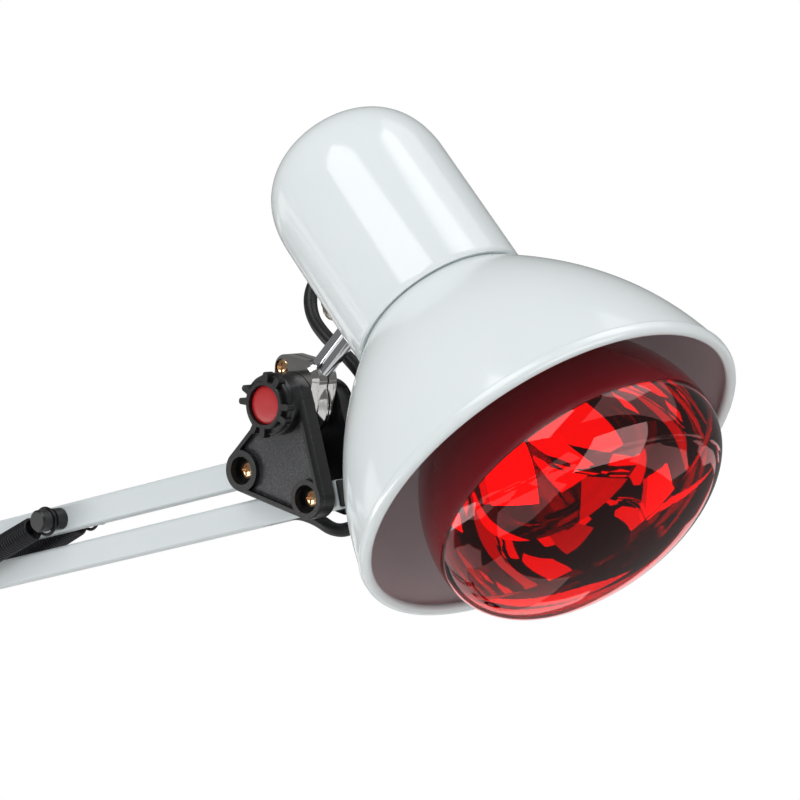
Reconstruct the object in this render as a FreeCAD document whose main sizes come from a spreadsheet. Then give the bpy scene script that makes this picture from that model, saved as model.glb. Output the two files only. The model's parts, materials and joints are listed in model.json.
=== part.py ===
"""Infrared heat therapy lamp on a spring-balanced double arm with a table clamp.

Frame: the origin is the centre of the clamp's upper jaw, on the table top and under the turret.
+X points to the head, +Y to the back, +Z up.  Millimetres and degrees throughout.
"""
import FreeCAD
import Part
import math
import os
import Sketcher

V = FreeCAD.Vector
X_AXIS = V(1, 0, 0)
Y_AXIS = V(0, 1, 0)
Z_AXIS = V(0, 0, 1)

os.makedirs("parts", exist_ok=True)
doc = FreeCAD.newDocument("heat_lamp")

# ---------------------------------------------------------------- driving dimensions
DIMENSIONS = {
    # linkage
    "lower_arm_length": 340.0, "lower_arm_angle": 118.0,
    "forearm_length": 340.0, "forearm_angle": 13.9,
    "base_pivot_height": 62.0, "base_pivot_half": 11.0,
    "elbow_rise": 39.9, "elbow_shift": -6.2,
    "pair_shift": 36.8, "pair_drop": 9.6,
    "knuckle_shift": 20.2, "knuckle_rise": 29.4,
    "head_tilt": 44.39, "head_swivel": -5.23,
    "stem_offset_along": -3.64, "stem_offset_up": -0.11, "stem_reach": 86.65,
    # square tubes
    "bar_width": 12.0, "bar_wall": 1.0, "bar_corner": 1.4, "bar_end": 8.0,
    "pivot_radius": 3.0, "pivot_play": 0.06, "open_pivot_play": 0.3,
    "flex_slot_width": 7.0,
    # moulded plates of knuckle and elbow
    "plate_inside": 8.0, "plate_outside": 17.0, "spacer_radius": 5.8, "spacer_inside": 6.3,
    "lobe_left_radius": 9.2, "lobe_right_radius": 8.6, "lobe_top_radius": 8.0,
    "lobe_top_across": 5.9, "lobe_top_drop": 1.2,
    "boss_radius": 13.3, "boss_front": 20.5, "rim_width": 2.3, "panel_depth": 2.5,
    "counterbore_radius": 6.0, "counterbore_depth": 5.5,
    "rear_top_across": 3.0, "rear_top_drop": 1.5, "rear_top_radius": 11.0,
    "nut_flats": 8.0, "nut_height": 4.0,
    # screws
    "screw_head_radius": 4.3, "screw_head_height": 2.4, "cross_length": 4.6, "cross_width": 1.0,
    "cross_depth": 1.3,
    # knob
    "knob_ring_inner": 8.4, "knob_ring_outer": 10.2, "knob_front": 24.7, "knob_back": 20.8,
    "knob_flange_radius": 12.6, "knob_flange_front": 22.4, "knob_tooth_reach": 14.0,
    "knob_tooth_width": 2.7, "knob_recess": 2.6, "knob_cap_radius": 8.2, "knob_cap_crown": 1.5,
    # jaw that grips the stem
    "jaw_inside": 0.4, "jaw_outside": 7.7, "jaw_hub_radius": 12.0, "jaw_rim_radius": 15.0,
    "jaw_socket_radius": 8.2, "jaw_socket_along": 14.0, "jaw_ear_across": -5.5, "jaw_ear_up": 14.6,
    "jaw_ear_radius": 5.6, "jaw_screw_radius": 2.0, "jaw_chamfer": 2.2,
    # stem
    "stem_radius": 4.9, "stem_play": 0.05, "stem_foot": 7.5, "stem_inside": 8.6,
    "stem_nut_radius": 8.0, "stem_nut_height": 5.0,
    # shade and neck, measured from the rim plane (back is negative)
    "rim_radius": 85.1, "rim_bead": 1.9, "shade_wall": 1.2, "shoulder_back": -86.3,
    "stem_back": -120.67, "neck_radius": 38.9, "neck_wall": 1.0, "collar_back": -94.0,
    "dome_start": -154.2, "dome_back": -188.7, "dome_fullness": 0.674,
    # lamp and holder
    "bulb_radius": 62.5, "bulb_seam": 10.75, "bulb_crown": 33.4, "bulb_fullness": 0.65,
    "bulb_neck_radius": 19.0, "bulb_neck_back": -107.0, "bulb_neck_front": -72.0, "glass": 1.2,
    "cap_radius": 13.2, "cap_back": -134.0, "holder_radius": 22.5, "holder_front": -107.5,
    "holder_back": -150.0, "nipple_radius": 5.0, "bulb_lean_across": -4.19, "bulb_lean_aside": 2.5,
    # springs
    "spring_radius": 5.6, "spring_wire": 0.75, "peg_radius": 5.0, "peg_neck_radius": 3.6,
    "peg_length": 14.5, "peg_neck_start": 5.6, "peg_neck_end": 9.2,
    "forearm_peg_along": 213.8, "lower_peg_along": 150.0, "spring_lead": 12.0,
    "spring_far_lead": 40.0,
    # turret and clamp
    "yoke_floor": 38.4, "yoke_deck": 46.0, "yoke_radius": 20.0, "yoke_cheek": 14.5,
    "yoke_lobe": 10.0, "spigot_radius": 6.35, "spigot_bottom": 12.0, "spigot_top": 44.0,
    "bush_play": 0.05, "bush_radius": 9.0, "bush_floor": 9.5, "boss_height": 38.0,
    "socket_radius": 13.0, "clamp_width": 34.0, "clamp_back": -28.0, "clamp_spine": 8.0,
    "clamp_arm": 8.0, "clamp_reach": 30.0, "clamp_depth": -52.0, "clamp_lower_arm": 10.0,
    "clamp_lower_reach": 17.0, "clamp_rib": 3.0, "clamp_recess": 10.0, "clamp_screw_across": 4.0,
    "clamp_screw_radius": 4.0, "screw_boss_radius": 9.5, "screw_boss_extra": 2.5,
    "board": 25.0, "foot_radius": 13.0, "foot_height": 4.0, "pad_height": 2.0,
    "clamp_screw_bottom": -100.0, "tommy_radius": 2.5, "tommy_length": 54.0,
    # flex, switch and plug
    "flex_radius": 3.0, "coil_mean_radius": 33.5, "coil_half_width": 12.6, "coil_height": 12.3,
    "switch_length": 62.0, "switch_width": 27.0, "switch_height": 17.0,
    "rocker_length": 18.0, "rocker_width": 10.0, "rocker_play": 0.4,
    "plug_radius": 18.5, "plug_length": 34.0, "pin_radius": 2.4, "pin_length": 19.0,
    "pin_spacing": 19.0, "flex_length": 1800.0, "rocker_pivot": 13.4,
}

dims = doc.addObject("Spreadsheet::Sheet", "dims")
for row, (alias, value) in enumerate(DIMENSIONS.items(), start=1):
    dims.set("A%d" % row, alias.replace("_", " "))
    dims.set("B%d" % row, str(value))
    dims.setAlias("B%d" % row, alias)
worked_out = doc.addObject("Spreadsheet::Sheet", "worked_out")
doc.recompute()


def size(expression):
    """Value of an expression over the sheet's aliases."""
    text = str(expression)
    if text in DIMENSIONS:
        return float(dims.get(text))
    worked_out.set("A1", "=" + bound(text))
    worked_out.recompute()
    return float(worked_out.get("A1"))


def bound(expression):
    """The same expression as the other objects have to write it."""
    text = str(expression)
    for alias in sorted(DIMENSIONS, key=len, reverse=True):
        text = text.replace(alias, "\0%d\0" % list(DIMENSIONS).index(alias))
    for index, alias in enumerate(DIMENSIONS):
        text = text.replace("\0%d\0" % index, "dims." + alias)
    return text


# ---------------------------------------------------------------- modelling helpers
NODES = {}
ORIGIN_PLANES = {"top": "XY_Plane", "front": "XZ_Plane", "side": "YZ_Plane"}


def new_body(name):
    """An empty body whose Label is the node's name."""
    body = doc.addObject("PartDesign::Body", name)
    body.Label = name
    return body


def new_sketch(body, plane, raised=None):
    """Sketch on one of the body's origin planes, raised along its normal (front: towards -Y)."""
    sketch = body.newObject("Sketcher::SketchObject", body.Name + "_outline")
    role = ORIGIN_PLANES[plane]
    support = [feature for feature in body.Origin.OriginFeatures if feature.Role == role][0]
    sketch.AttachmentSupport = (support, [""])
    sketch.MapMode = "FlatFace"
    if raised is not None:
        sketch.setExpression("AttachmentOffset.Base.z", bound(raised))
    return sketch


def pin_down(sketch, geometry, point, across, up):
    """Tie a point of the sketch to the origin by two driving expressions."""
    for kind, axis, expression in (("DistanceX", -2, across), ("DistanceY", -1, up)):
        if abs(size(expression)) < 1e-7:
            sketch.addConstraint(Sketcher.Constraint("PointOnObject", geometry, point, axis))
        else:
            constraint = Sketcher.Constraint(kind, -1, 1, geometry, point, size(expression))
            index = sketch.addConstraint(constraint)
            sketch.setExpression("Constraints[%d]" % index, bound(expression))


def draw_outline(sketch, corners):
    """Closed outline through corners (across, up); a corner with handles ends a Bezier edge."""
    places = [V(size(corner[0]), size(corner[1]), 0) for corner in corners]
    first = sketch.GeometryCount
    count = len(corners)
    for index, start in enumerate(places):
        following = (index + 1) % count
        handles = corners[following][2:]
        if handles:
            curve = Part.BezierCurve()
            poles = [V(size(across), size(up), 0) for across, up in handles]
            curve.setPoles([start] + poles + [places[following]])
            sketch.addGeometry(curve.toBSpline(), False)
        else:
            sketch.addGeometry(Part.LineSegment(start, places[following]), False)
    for index in range(count):
        following = (index + 1) % count
        sketch.addConstraint(
            Sketcher.Constraint("Coincident", first + index, 2, first + following, 1))
    for index, corner in enumerate(corners):
        pin_down(sketch, first + index, 1, corner[0], corner[1])
    return sketch


def draw_circle(sketch, across, up, radius):
    """Circle with its centre and radius bound to the sheet."""
    centre = V(size(across), size(up), 0)
    circle = sketch.addGeometry(Part.Circle(centre, Z_AXIS, size(radius)), False)
    pin_down(sketch, circle, 3, across, up)
    index = sketch.addConstraint(Sketcher.Constraint("Radius", circle, size(radius)))
    sketch.setExpression("Constraints[%d]" % index, bound(radius))
    return circle


def draw_hull(sketch, lobes):
    """Belt round circles given anticlockwise: tangent lines joined by the circles' own arcs."""
    rounds = [(V(size(x), size(y), 0), size(r)) for x, y, r in lobes]
    count = len(rounds)
    tangents = []
    for index in range(count):
        (centre, radius), (other, other_radius) = rounds[index], rounds[(index + 1) % count]
        gap = other.sub(centre)
        lean = math.asin((radius - other_radius) / gap.Length)
        tangents.append(math.atan2(gap.y, gap.x) - math.pi / 2 + lean)
    for index, (centre, radius) in enumerate(rounds):
        start, end = tangents[index - 1], tangents[index]
        while end < start:
            end += 2 * math.pi
        circle = Part.Circle(centre, Z_AXIS, radius)
        arc = sketch.addGeometry(Part.ArcOfCircle(circle, start, end), False)
        pin_down(sketch, arc, 3, lobes[index][0], lobes[index][1])
        radius_rule = sketch.addConstraint(Sketcher.Constraint("Radius", arc, radius))
        sketch.setExpression("Constraints[%d]" % radius_rule, bound(lobes[index][2]))
    first_arc = sketch.GeometryCount - count
    for index in range(count):
        (centre, radius), (other, other_radius) = rounds[index], rounds[(index + 1) % count]
        away = V(math.cos(tangents[index]), math.sin(tangents[index]), 0)
        line = sketch.addGeometry(
            Part.LineSegment(centre + away * radius, other + away * other_radius), False)
        following = first_arc + (index + 1) % count
        sketch.addConstraint(Sketcher.Constraint("Tangent", first_arc + index, 2, line, 1))
        sketch.addConstraint(Sketcher.Constraint("Tangent", line, 2, following, 1))
    return sketch


def grown(body, feature, shrinks=False):
    """Recompute and make sure that the feature added or removed material."""
    earlier = 0.0 if body.Tip is None or body.Tip == feature else body.Tip.Shape.Volume
    before = feature.BaseFeature.Shape.Volume if feature.BaseFeature else earlier
    doc.recompute()
    change = feature.Shape.Volume - before
    if (shrinks and change > -1e-3) or (not shrinks and change < 1e-3):
        raise RuntimeError("%s changed nothing in %s" % (feature.Name, body.Label))
    return feature


def pad(body, sketch, length, centred=False, back=False):
    """Extrude a sketch along its normal (front plane: towards -Y)."""
    feature = body.newObject("PartDesign::Pad", body.Name + "_pad")
    feature.Profile = sketch
    feature.setExpression("Length", bound(length))
    feature.SideType = "Symmetric" if centred else "One side"
    feature.Reversed = back
    sketch.Visibility = False
    return grown(body, feature)


def pocket(body, sketch, length=None, centred=False, back=False):
    """Cut a sketch against its normal, or along it with back; through everything by default."""
    feature = body.newObject("PartDesign::Pocket", body.Name + "_pocket")
    feature.Profile = sketch
    if length is None:
        feature.Type = "ThroughAll"
        feature.SideType = "Symmetric"
    else:
        feature.setExpression("Length", bound(length))
        feature.SideType = "Symmetric" if centred else "One side"
        feature.Reversed = back
    return grown(body, feature, shrinks=True)


def revolve(body, sketch, axis="V_Axis"):
    """Full turn of a sketch about one of its own axes."""
    feature = body.newObject("PartDesign::Revolution", body.Name + "_turned")
    feature.Profile = sketch
    feature.ReferenceAxis = (sketch, [axis])
    feature.Angle = 360
    return grown(body, feature)


def edges_where(feature, chosen):
    """Names of the feature's edges for which the test holds."""
    return ["Edge%d" % (index + 1) for index, edge in enumerate(feature.Shape.Edges)
            if chosen(edge)]


def soften(body, kind, amount, chosen):
    """Fillet or chamfer the tip's edges for which the test holds."""
    base = body.Tip
    names = edges_where(base, chosen)
    feature = body.newObject("PartDesign::" + kind, body.Name + "_" + kind.lower())
    feature.Base = (base, names)
    feature.setExpression("Radius" if kind == "Fillet" else "Size", bound(amount))
    doc.recompute()
    return feature


def turned(name, corners, placement=None):
    """Sub-part turned about its own Z from a profile of (radius, height) corners."""
    body = new_body(name)
    revolve(body, draw_outline(new_sketch(body, "front"), corners))
    return keep(name, body, placement)


def keep(name, feature, placement=None):
    """Register a sub-part under its node's name and put it in its place."""
    feature.Label = name
    if placement is not None:
        feature.Placement = placement
    NODES[name] = feature
    return feature


def repeated(name, pattern, placements):
    """One node of identical pieces: a compound of links to the pattern."""
    links = []
    for index, placement in enumerate(placements):
        link = doc.addObject("App::Link", "%s_%d" % (name, index + 1))
        link.LinkedObject = pattern
        link.Placement = placement
        links.append(link)
    compound = doc.addObject("Part::Compound", name)
    compound.Links = links
    return keep(name, compound)


def shaped(name, shape, placement=None):
    """Sub-part whose solid is made by Part's functions from the sheet's values."""
    feature = doc.addObject("Part::Feature", name)
    feature.Shape = shape
    return keep(name, feature, placement)


# ---------------------------------------------------------------- places in the rest pose
def aim(origin, x_direction, z_direction):
    """Placement with its local X and Z along the given directions."""
    x = V(x_direction).normalize()
    z = V(z_direction).normalize()
    y = z.cross(x)
    matrix = FreeCAD.Matrix(x.x, y.x, z.x, origin.x, x.y, y.y, z.y, origin.y,
                            x.z, y.z, z.z, origin.z, 0, 0, 0, 1)
    return FreeCAD.Placement(matrix)


def in_plane(degrees):
    """Direction in the XZ plane, measured from +X towards +Z."""
    angle = math.radians(degrees)
    return V(math.cos(angle), 0, math.sin(angle))


LOWER_AXIS = in_plane(size("lower_arm_angle"))
FOREARM_AXIS = in_plane(size("forearm_angle"))
PAIR = V(size("pair_shift"), 0, -size("pair_drop"))
B_REAR = V(-size("base_pivot_half"), 0, size("base_pivot_height"))
B_FRONT = V(size("base_pivot_half"), 0, size("base_pivot_height"))
F_REAR = B_REAR + LOWER_AXIS * size("lower_arm_length")
F_FRONT = B_FRONT + LOWER_AXIS * size("lower_arm_length")
E_UPPER = F_REAR + V(size("elbow_shift"), 0, size("elbow_rise"))
E_LOWER = E_UPPER + PAIR
P_UPPER = E_UPPER + FOREARM_AXIS * size("forearm_length")
P_LOWER = P_UPPER + PAIR
KNUCKLE = P_UPPER + V(size("knuckle_shift"), 0, size("knuckle_rise"))
STEM_AXIS = in_plane(90 - size("head_tilt"))
STEM_START = KNUCKLE + V(size("stem_offset_along"), 0, size("stem_offset_up"))
STEM_END = STEM_START + STEM_AXIS * size("stem_reach")
SWIVEL = math.radians(size("head_swivel"))
HEAD_AXIS = in_plane(-size("head_tilt")) * math.cos(SWIVEL) + Y_AXIS * math.sin(SWIVEL)
RIM_CENTRE = STEM_END - HEAD_AXIS * size("stem_back")
HEAD = aim(RIM_CENTRE, STEM_AXIS * -1, HEAD_AXIS)
AT_KNUCKLE = FreeCAD.Placement(KNUCKLE, FreeCAD.Rotation())
AT_ELBOW = FreeCAD.Placement(F_REAR, FreeCAD.Rotation())
ALONG_LOWER_FRONT = aim(B_FRONT, LOWER_AXIS, LOWER_AXIS.cross(Y_AXIS))
ALONG_LOWER_REAR = aim(B_REAR, LOWER_AXIS, LOWER_AXIS.cross(Y_AXIS))
ALONG_FOREARM_LOWER = aim(E_LOWER, FOREARM_AXIS, FOREARM_AXIS.cross(Y_AXIS))
ALONG_FOREARM_UPPER = aim(E_UPPER, FOREARM_AXIS, FOREARM_AXIS.cross(Y_AXIS))


def facing_front(place):
    """Placement that turns a part made along +Z so that +Z points to the front (-Y)."""
    return aim(place, X_AXIS, Y_AXIS * -1)


def facing_back(place):
    """Placement that turns a part made along +Z so that +Z points to the back (+Y)."""
    return aim(place, X_AXIS, Y_AXIS)


# ---------------------------------------------------------------- shade, neck and lamp
def make_shade():
    """Spun bell: thin wall along a Bezier curve, a bead at the rim and a collar at the back."""
    wall = "shade_wall"
    turned("shade", [
        ("neck_radius-neck_wall-%s" % wall, "collar_back"),
        ("neck_radius-neck_wall", "collar_back"),
        ("neck_radius-neck_wall", "shoulder_back"),
        ("rim_radius-rim_bead*0.3", "-2*rim_bead", ("68.0", "-56.1"), ("79.3", "-30.0")),
        ("rim_radius", "-rim_bead", ("rim_radius+0.1", "-2*rim_bead"), ("rim_radius", "-1.5*rim_bead")),
        ("rim_radius-rim_bead", "0", ("rim_radius", "-0.4*rim_bead"), ("rim_radius-0.4*rim_bead", "0")),
        ("rim_radius-2*rim_bead", "-rim_bead", ("rim_radius-1.6*rim_bead", "0"),
         ("rim_radius-2*rim_bead", "-0.4*rim_bead")),
        ("rim_radius-rim_bead*0.3-%s" % wall, "-2.4*rim_bead", ("rim_radius-2*rim_bead", "-1.6*rim_bead"),
         ("rim_radius-1.2*rim_bead", "-1.8*rim_bead")),
        ("neck_radius-neck_wall-%s" % wall, "shoulder_back-0.6", ("78.2", "-30.4"), ("66.9", "-56.6")),
    ], HEAD)


def make_neck_cap():
    """Drawn cup over the lampholder, with holes for stem, flex and earth screw."""
    body = new_body("neck_cap")
    inner = "neck_radius-neck_wall"
    draw = draw_outline(new_sketch(body, "front"), [
        (inner, "shoulder_back"),
        ("neck_radius+1.1", "shoulder_back+0.4"),
        ("neck_radius", "shoulder_back-3.2", ("neck_radius+0.4", "shoulder_back-1"),
         ("neck_radius", "shoulder_back-2")),
        ("neck_radius", "dome_start"),
        ("0", "dome_back", ("neck_radius", "dome_start+(dome_back-dome_start)*dome_fullness"),
         ("neck_radius*dome_fullness", "dome_back")),
        ("0", "dome_back+neck_wall"),
        (inner, "dome_start", ("(%s)*dome_fullness" % inner, "dome_back+neck_wall"),
         (inner, "dome_start+(dome_back+neck_wall-dome_start)*dome_fullness")),
    ])
    revolve(body, draw)
    local = HEAD.inverse()
    keep("neck_cap", drilled("neck_cap", body, [
        (aim(V(30, 0, size("stem_back")), Z_AXIS, X_AXIS), "stem_radius", 12),
        (local.multiply(on_neck(*FLEX_EXIT)), "flex_radius+2.6", 5),
        (local.multiply(on_neck(*EARTH_SCREW)), "2", 5),
    ]), HEAD)


def make_lampholder():
    """Ceramic holder with its skirt, a shoulder and the nipple that fixes it to the neck."""
    turned("lampholder", [
        ("0", "dome_back+neck_wall+0.15"), ("nipple_radius", "dome_back+neck_wall+0.15"),
        ("nipple_radius", "holder_back-6"), ("nipple_radius+3.5", "holder_back-6"),
        ("nipple_radius+3.5", "holder_back"), ("16", "holder_back"),
        ("18.5", "holder_back+2.5"), ("18.5", "holder_back+16"),
        ("holder_radius", "holder_back+19"), ("holder_radius", "holder_front-2"),
        ("holder_radius-2", "holder_front"), ("cap_radius+1.6", "holder_front"),
        ("cap_radius+1.6", "cap_back+2"), ("6", "cap_back-0.2"), ("0", "cap_back-0.2"),
    ], HEAD)


def lamp_place():
    """The lamp leans a little in its holder, about the middle of its cap."""
    pivot = size("cap_back")
    reach = size("bulb_seam") - pivot
    lean = V(size("bulb_lean_across"), size("bulb_lean_aside"), reach)
    turn = FreeCAD.Rotation(Z_AXIS, lean)
    about = FreeCAD.Placement(V(0, 0, 0), turn, V(0, 0, pivot))
    return HEAD.multiply(about)


def make_bulb():
    """R125 reflector lamp: screw cap, silvered back, ruby front and the filament mount."""
    place = lamp_place()
    turned("bulb_cap", [
        ("0", "cap_back"), ("4.5", "cap_back"), ("5.5", "cap_back+2"), ("9", "cap_back+3"),
        ("cap_radius", "cap_back+6"), ("cap_radius", "bulb_neck_back"),
        ("cap_radius-1", "bulb_neck_back"), ("cap_radius-1", "cap_back+7"), ("0", "cap_back+4"),
    ], place)
    turned("bulb_reflector", [
        ("cap_radius-1", "bulb_neck_back"), ("cap_radius", "bulb_neck_back"),
        ("bulb_neck_radius", "bulb_neck_back+9", ("cap_radius+1", "bulb_neck_back+4"),
         ("bulb_neck_radius", "bulb_neck_back+4")),
        ("bulb_neck_radius", "bulb_neck_front"),
        ("bulb_radius", "bulb_seam", ("bulb_neck_radius+1", "bulb_neck_front+22"),
         ("bulb_radius", "bulb_seam-42")),
        ("bulb_radius-glass", "bulb_seam"),
        ("bulb_neck_radius-glass", "bulb_neck_front", ("bulb_radius-glass", "bulb_seam-41"),
         ("bulb_neck_radius+1-glass", "bulb_neck_front+23")),
        ("bulb_neck_radius-glass", "bulb_neck_back+9"),
    ], place)
    turned("bulb_lens", [
        ("bulb_radius-glass", "bulb_seam",
         ("(bulb_radius-glass)*bulb_fullness", "bulb_seam+bulb_crown-glass"),
         ("bulb_radius-glass", "bulb_seam+(bulb_crown-glass)*bulb_fullness")),
        ("bulb_radius", "bulb_seam"),
        ("0", "bulb_seam+bulb_crown", ("bulb_radius", "bulb_seam+bulb_crown*bulb_fullness"),
         ("bulb_radius*bulb_fullness", "bulb_seam+bulb_crown")),
        ("0", "bulb_seam+bulb_crown-glass"),
    ], place)
    back = size("cap_back") + 8
    stem = Part.makeCone(9, 4, 42, V(0, 0, back))
    pieces = [stem]
    for side in (-1, 1):
        foot = V(2.5 * side, 0, back + 40)
        tip = V(11 * side, 0, back + 86)
        pieces.append(rod_between(foot, tip, 0.6))
        pieces.append(rod_between(tip, V(0, 9, back + 82), 0.7))
    pieces.append(rod_between(V(0, 1, back + 40), V(0, 9, back + 82), 0.5))
    shaped("bulb_filament", fused(pieces), place)


def drilled(name, body, holes):
    """The piece less round holes, each (placement, radius, depth) and as deep to both sides."""
    base = body
    for index, (placement, radius, depth) in enumerate(holes):
        drill = doc.addObject("Part::Cylinder", "%s_drill_%d" % (name, index + 1))
        drill.setExpression("Radius", bound(radius))
        drill.Height = 2 * depth
        drill.Placement = placement.multiply(FreeCAD.Placement(V(0, 0, -depth), FreeCAD.Rotation()))
        cut = doc.addObject("Part::Cut", "%s_drilled_%d" % (name, index + 1))
        cut.Base = base
        cut.Tool = drill
        base = cut
    volume = body.Shape.Volume
    doc.recompute()
    if base.Shape.Volume > volume - 1:
        raise RuntimeError("the holes of %s miss it" % name)
    return base


def rod_between(start, end, radius):
    """Plain round rod from one point to another."""
    return Part.makeCylinder(radius, (end - start).Length, start, end - start)


def fused(solids):
    """One solid from touching solids."""
    whole = solids[0].multiFuse(solids[1:])
    return whole.removeSplitter()


def make_stem():
    """Chromed rod of the head, its nut inside the neck, the earth screw and the flex bush."""
    across = aim(STEM_END, Y_AXIS, STEM_AXIS * -1)
    inner = "(neck_radius-neck_wall)"
    turned("stem_rod", [
        ("0", inner + "-stem_inside"), ("stem_radius-0.8", inner + "-stem_inside"),
        ("stem_radius", inner + "-stem_inside+0.8"), ("stem_radius", "stem_reach-stem_foot-0.8"),
        ("stem_radius-0.8", "stem_reach-stem_foot"), ("0", "stem_reach-stem_foot"),
    ], across)
    body = new_body("stem_nut")
    nut = new_sketch(body, "top", inner + "-1.4-stem_nut_height")
    draw_outline(nut, hexagon("stem_nut_radius*1.0"))
    draw_circle(nut, "0", "0", "stem_radius")
    pad(body, nut, "stem_nut_height")
    washer = new_sketch(body, "top", inner + "-1.5")
    draw_circle(washer, "0", "0", "stem_radius+1.6")
    draw_circle(washer, "0", "0", "stem_radius")
    pad(body, washer, "0.9")
    keep("stem_nut", body, across)
    screw_spot = on_neck(*EARTH_SCREW)
    turned("neck_screw", [
        ("0", "-6"), ("2", "-6"), ("2", "0.2"), ("6", "0.2"), ("6", "1.1"), ("4.1", "1.1"),
        ("4.1", "2.2"), ("2.6", "3.4"), ("0", "3.6"),
    ], screw_spot)
    turned("cord_gland", [
        ("flex_radius", "-4"), ("flex_radius+2.6", "-4"), ("flex_radius+2.6", "0.05"),
        ("flex_radius+3.6", "0.05"), ("flex_radius+3.6", "1.6"), ("flex_radius+2", "3.4"),
        ("flex_radius", "3.6"),
    ], on_neck(*FLEX_EXIT))


def hexagon(across_corners):
    """Corners of a hexagon round the origin, as expressions of its corner radius."""
    corners = []
    for index in range(6):
        angle = math.radians(60 * index)
        corners.append(("(%s)*%.9f" % (across_corners, math.cos(angle)),
                        "(%s)*%.9f" % (across_corners, math.sin(angle))))
    return corners


FLEX_EXIT = (-137.0, 58.0)
EARTH_SCREW = (-126.8, -15.0)


def on_neck(back, turn):
    """Placement on the neck's skin, Z outwards, at a distance from the rim and a turn from the stem."""
    start, end = size("dome_start"), size("dome_back")
    radius = size("neck_radius")
    slope = 0.0
    if back < start:
        exponent = math.log(0.5) / math.log((4 + 3 * size("dome_fullness")) / 8)
        share = (start - back) / (start - end)
        radius *= (1 - share ** exponent) ** (1 / exponent)
        slope = (share / ((1 - share ** exponent) ** (1 / exponent))) ** (exponent - 1)
        slope *= size("neck_radius") / (start - end)
    angle = math.radians(turn)
    outward = V(math.cos(angle), math.sin(angle), 0)
    normal = outward - Z_AXIS * slope
    local = aim(outward * radius + Z_AXIS * back, outward.cross(Z_AXIS), normal)
    return HEAD.multiply(local)


# ---------------------------------------------------------------- screws and plates
def screw_pattern(name, shank_radius, shank_length, head_radius, head_height):
    """Pan-head screw made along -Z from the underside of its head, with a cross recess."""
    body = new_body(name)
    revolve(body, draw_outline(new_sketch(body, "front"), [
        ("0", "-(%s)" % shank_length), (shank_radius + "-0.5", "-(%s)" % shank_length),
        (shank_radius, "-(%s)+0.5" % shank_length), (shank_radius, "0"), (head_radius, "0"),
        (head_radius, "%s*0.35" % head_height),
        ("0", head_height, (head_radius, "%s*0.8" % head_height),
         ("%s*0.6" % head_radius, head_height)),
    ]))
    half, width = "cross_length/2", "cross_width/2"
    cross = draw_outline(new_sketch(body, "top", head_height), [
        (width, width), (width, half), ("-" + width, half), ("-" + width, width),
        ("-" + half, width), ("-" + half, "-" + width), ("-" + width, "-" + width),
        ("-" + width, "-" + half), (width, "-" + half), (width, "-" + width),
        (half, "-" + width), (half, width),
    ])
    pocket(body, cross, "cross_depth")
    return body


def relative(point, origin):
    """A point as the two expressions of its offset from an origin in the XZ plane."""
    offset = point - origin
    return "%.6f" % offset.x, "%.6f" % offset.z


def make_plate(name, origin_place, lobes, pivots, front, boss=None, pegs=()):
    """Moulded plate: a hull of lobes with spacers, a sunk panel, rings and counterbores."""
    body = new_body(name)
    outwards = 1 if front else -1
    inside = "plate_inside" if front else "-plate_inside"
    outside = "plate_outside" if front else "-plate_outside"
    pad(body, draw_hull(new_sketch(body, "front", inside), lobes),
        "plate_outside-plate_inside", back=not front)
    soften(body, "Chamfer", "0.8", lambda edge: all(
        abs(vertex.Point.y + outwards * size("plate_outside")) < 1e-4 for vertex in edge.Vertexes))
    inner = [(x, z, "(%s)-rim_width" % radius) for x, z, radius in lobes]
    panel = draw_hull(new_sketch(body, "front", outside), inner)
    pocket(body, panel, "panel_depth", back=not front)
    rings = new_sketch(body, "front", inside)
    for x, z, radius in pivots:
        draw_circle(rings, x, z, "(%s)-0.4" % radius)
    pad(body, rings, "plate_outside-plate_inside", back=not front)
    for x, z, radius in pegs:
        stand = new_sketch(body, "front", inside)
        draw_circle(stand, x, z, radius)
        pad(body, stand, "plate_outside-plate_inside", back=not front)
    spacers = new_sketch(body, "front", "spacer_inside" if front else "-spacer_inside")
    for x, z, radius in pivots:
        draw_circle(spacers, x, z, "spacer_radius")
    pad(body, spacers, "plate_inside-spacer_inside+0.2", back=not front)
    if boss is not None:
        disc = new_sketch(body, "front", inside)
        draw_circle(disc, boss[0], boss[1], boss[2])
        pad(body, disc, "(%s)-plate_inside" % boss[3], back=not front)
        face = size(boss[3]) * outwards
        if abs(face) > size("plate_outside"):
            soften(body, "Chamfer", "1", lambda edge: abs(edge.CenterOfMass.y + face) < 1e-4)
        hole = new_sketch(body, "front")
        draw_circle(hole, boss[0], boss[1], "pivot_radius+pivot_play")
        pocket(body, hole)
    holes = new_sketch(body, "front")
    for x, z, radius in pivots:
        draw_circle(holes, x, z, "pivot_radius+pivot_play")
    pocket(body, holes)
    seats = new_sketch(body, "front", outside)
    for x, z, radius in pivots:
        if front:
            draw_circle(seats, x, z, "counterbore_radius")
        else:
            corners = hexagon("nut_flats*0.6")
            draw_outline(seats, [("%s+%s" % (x, a), "%s+%s" % (z, b)) for a, b in corners])
    pocket(body, seats, "counterbore_depth" if front else "nut_height", back=not front)
    return keep(name, body, origin_place)


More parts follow.
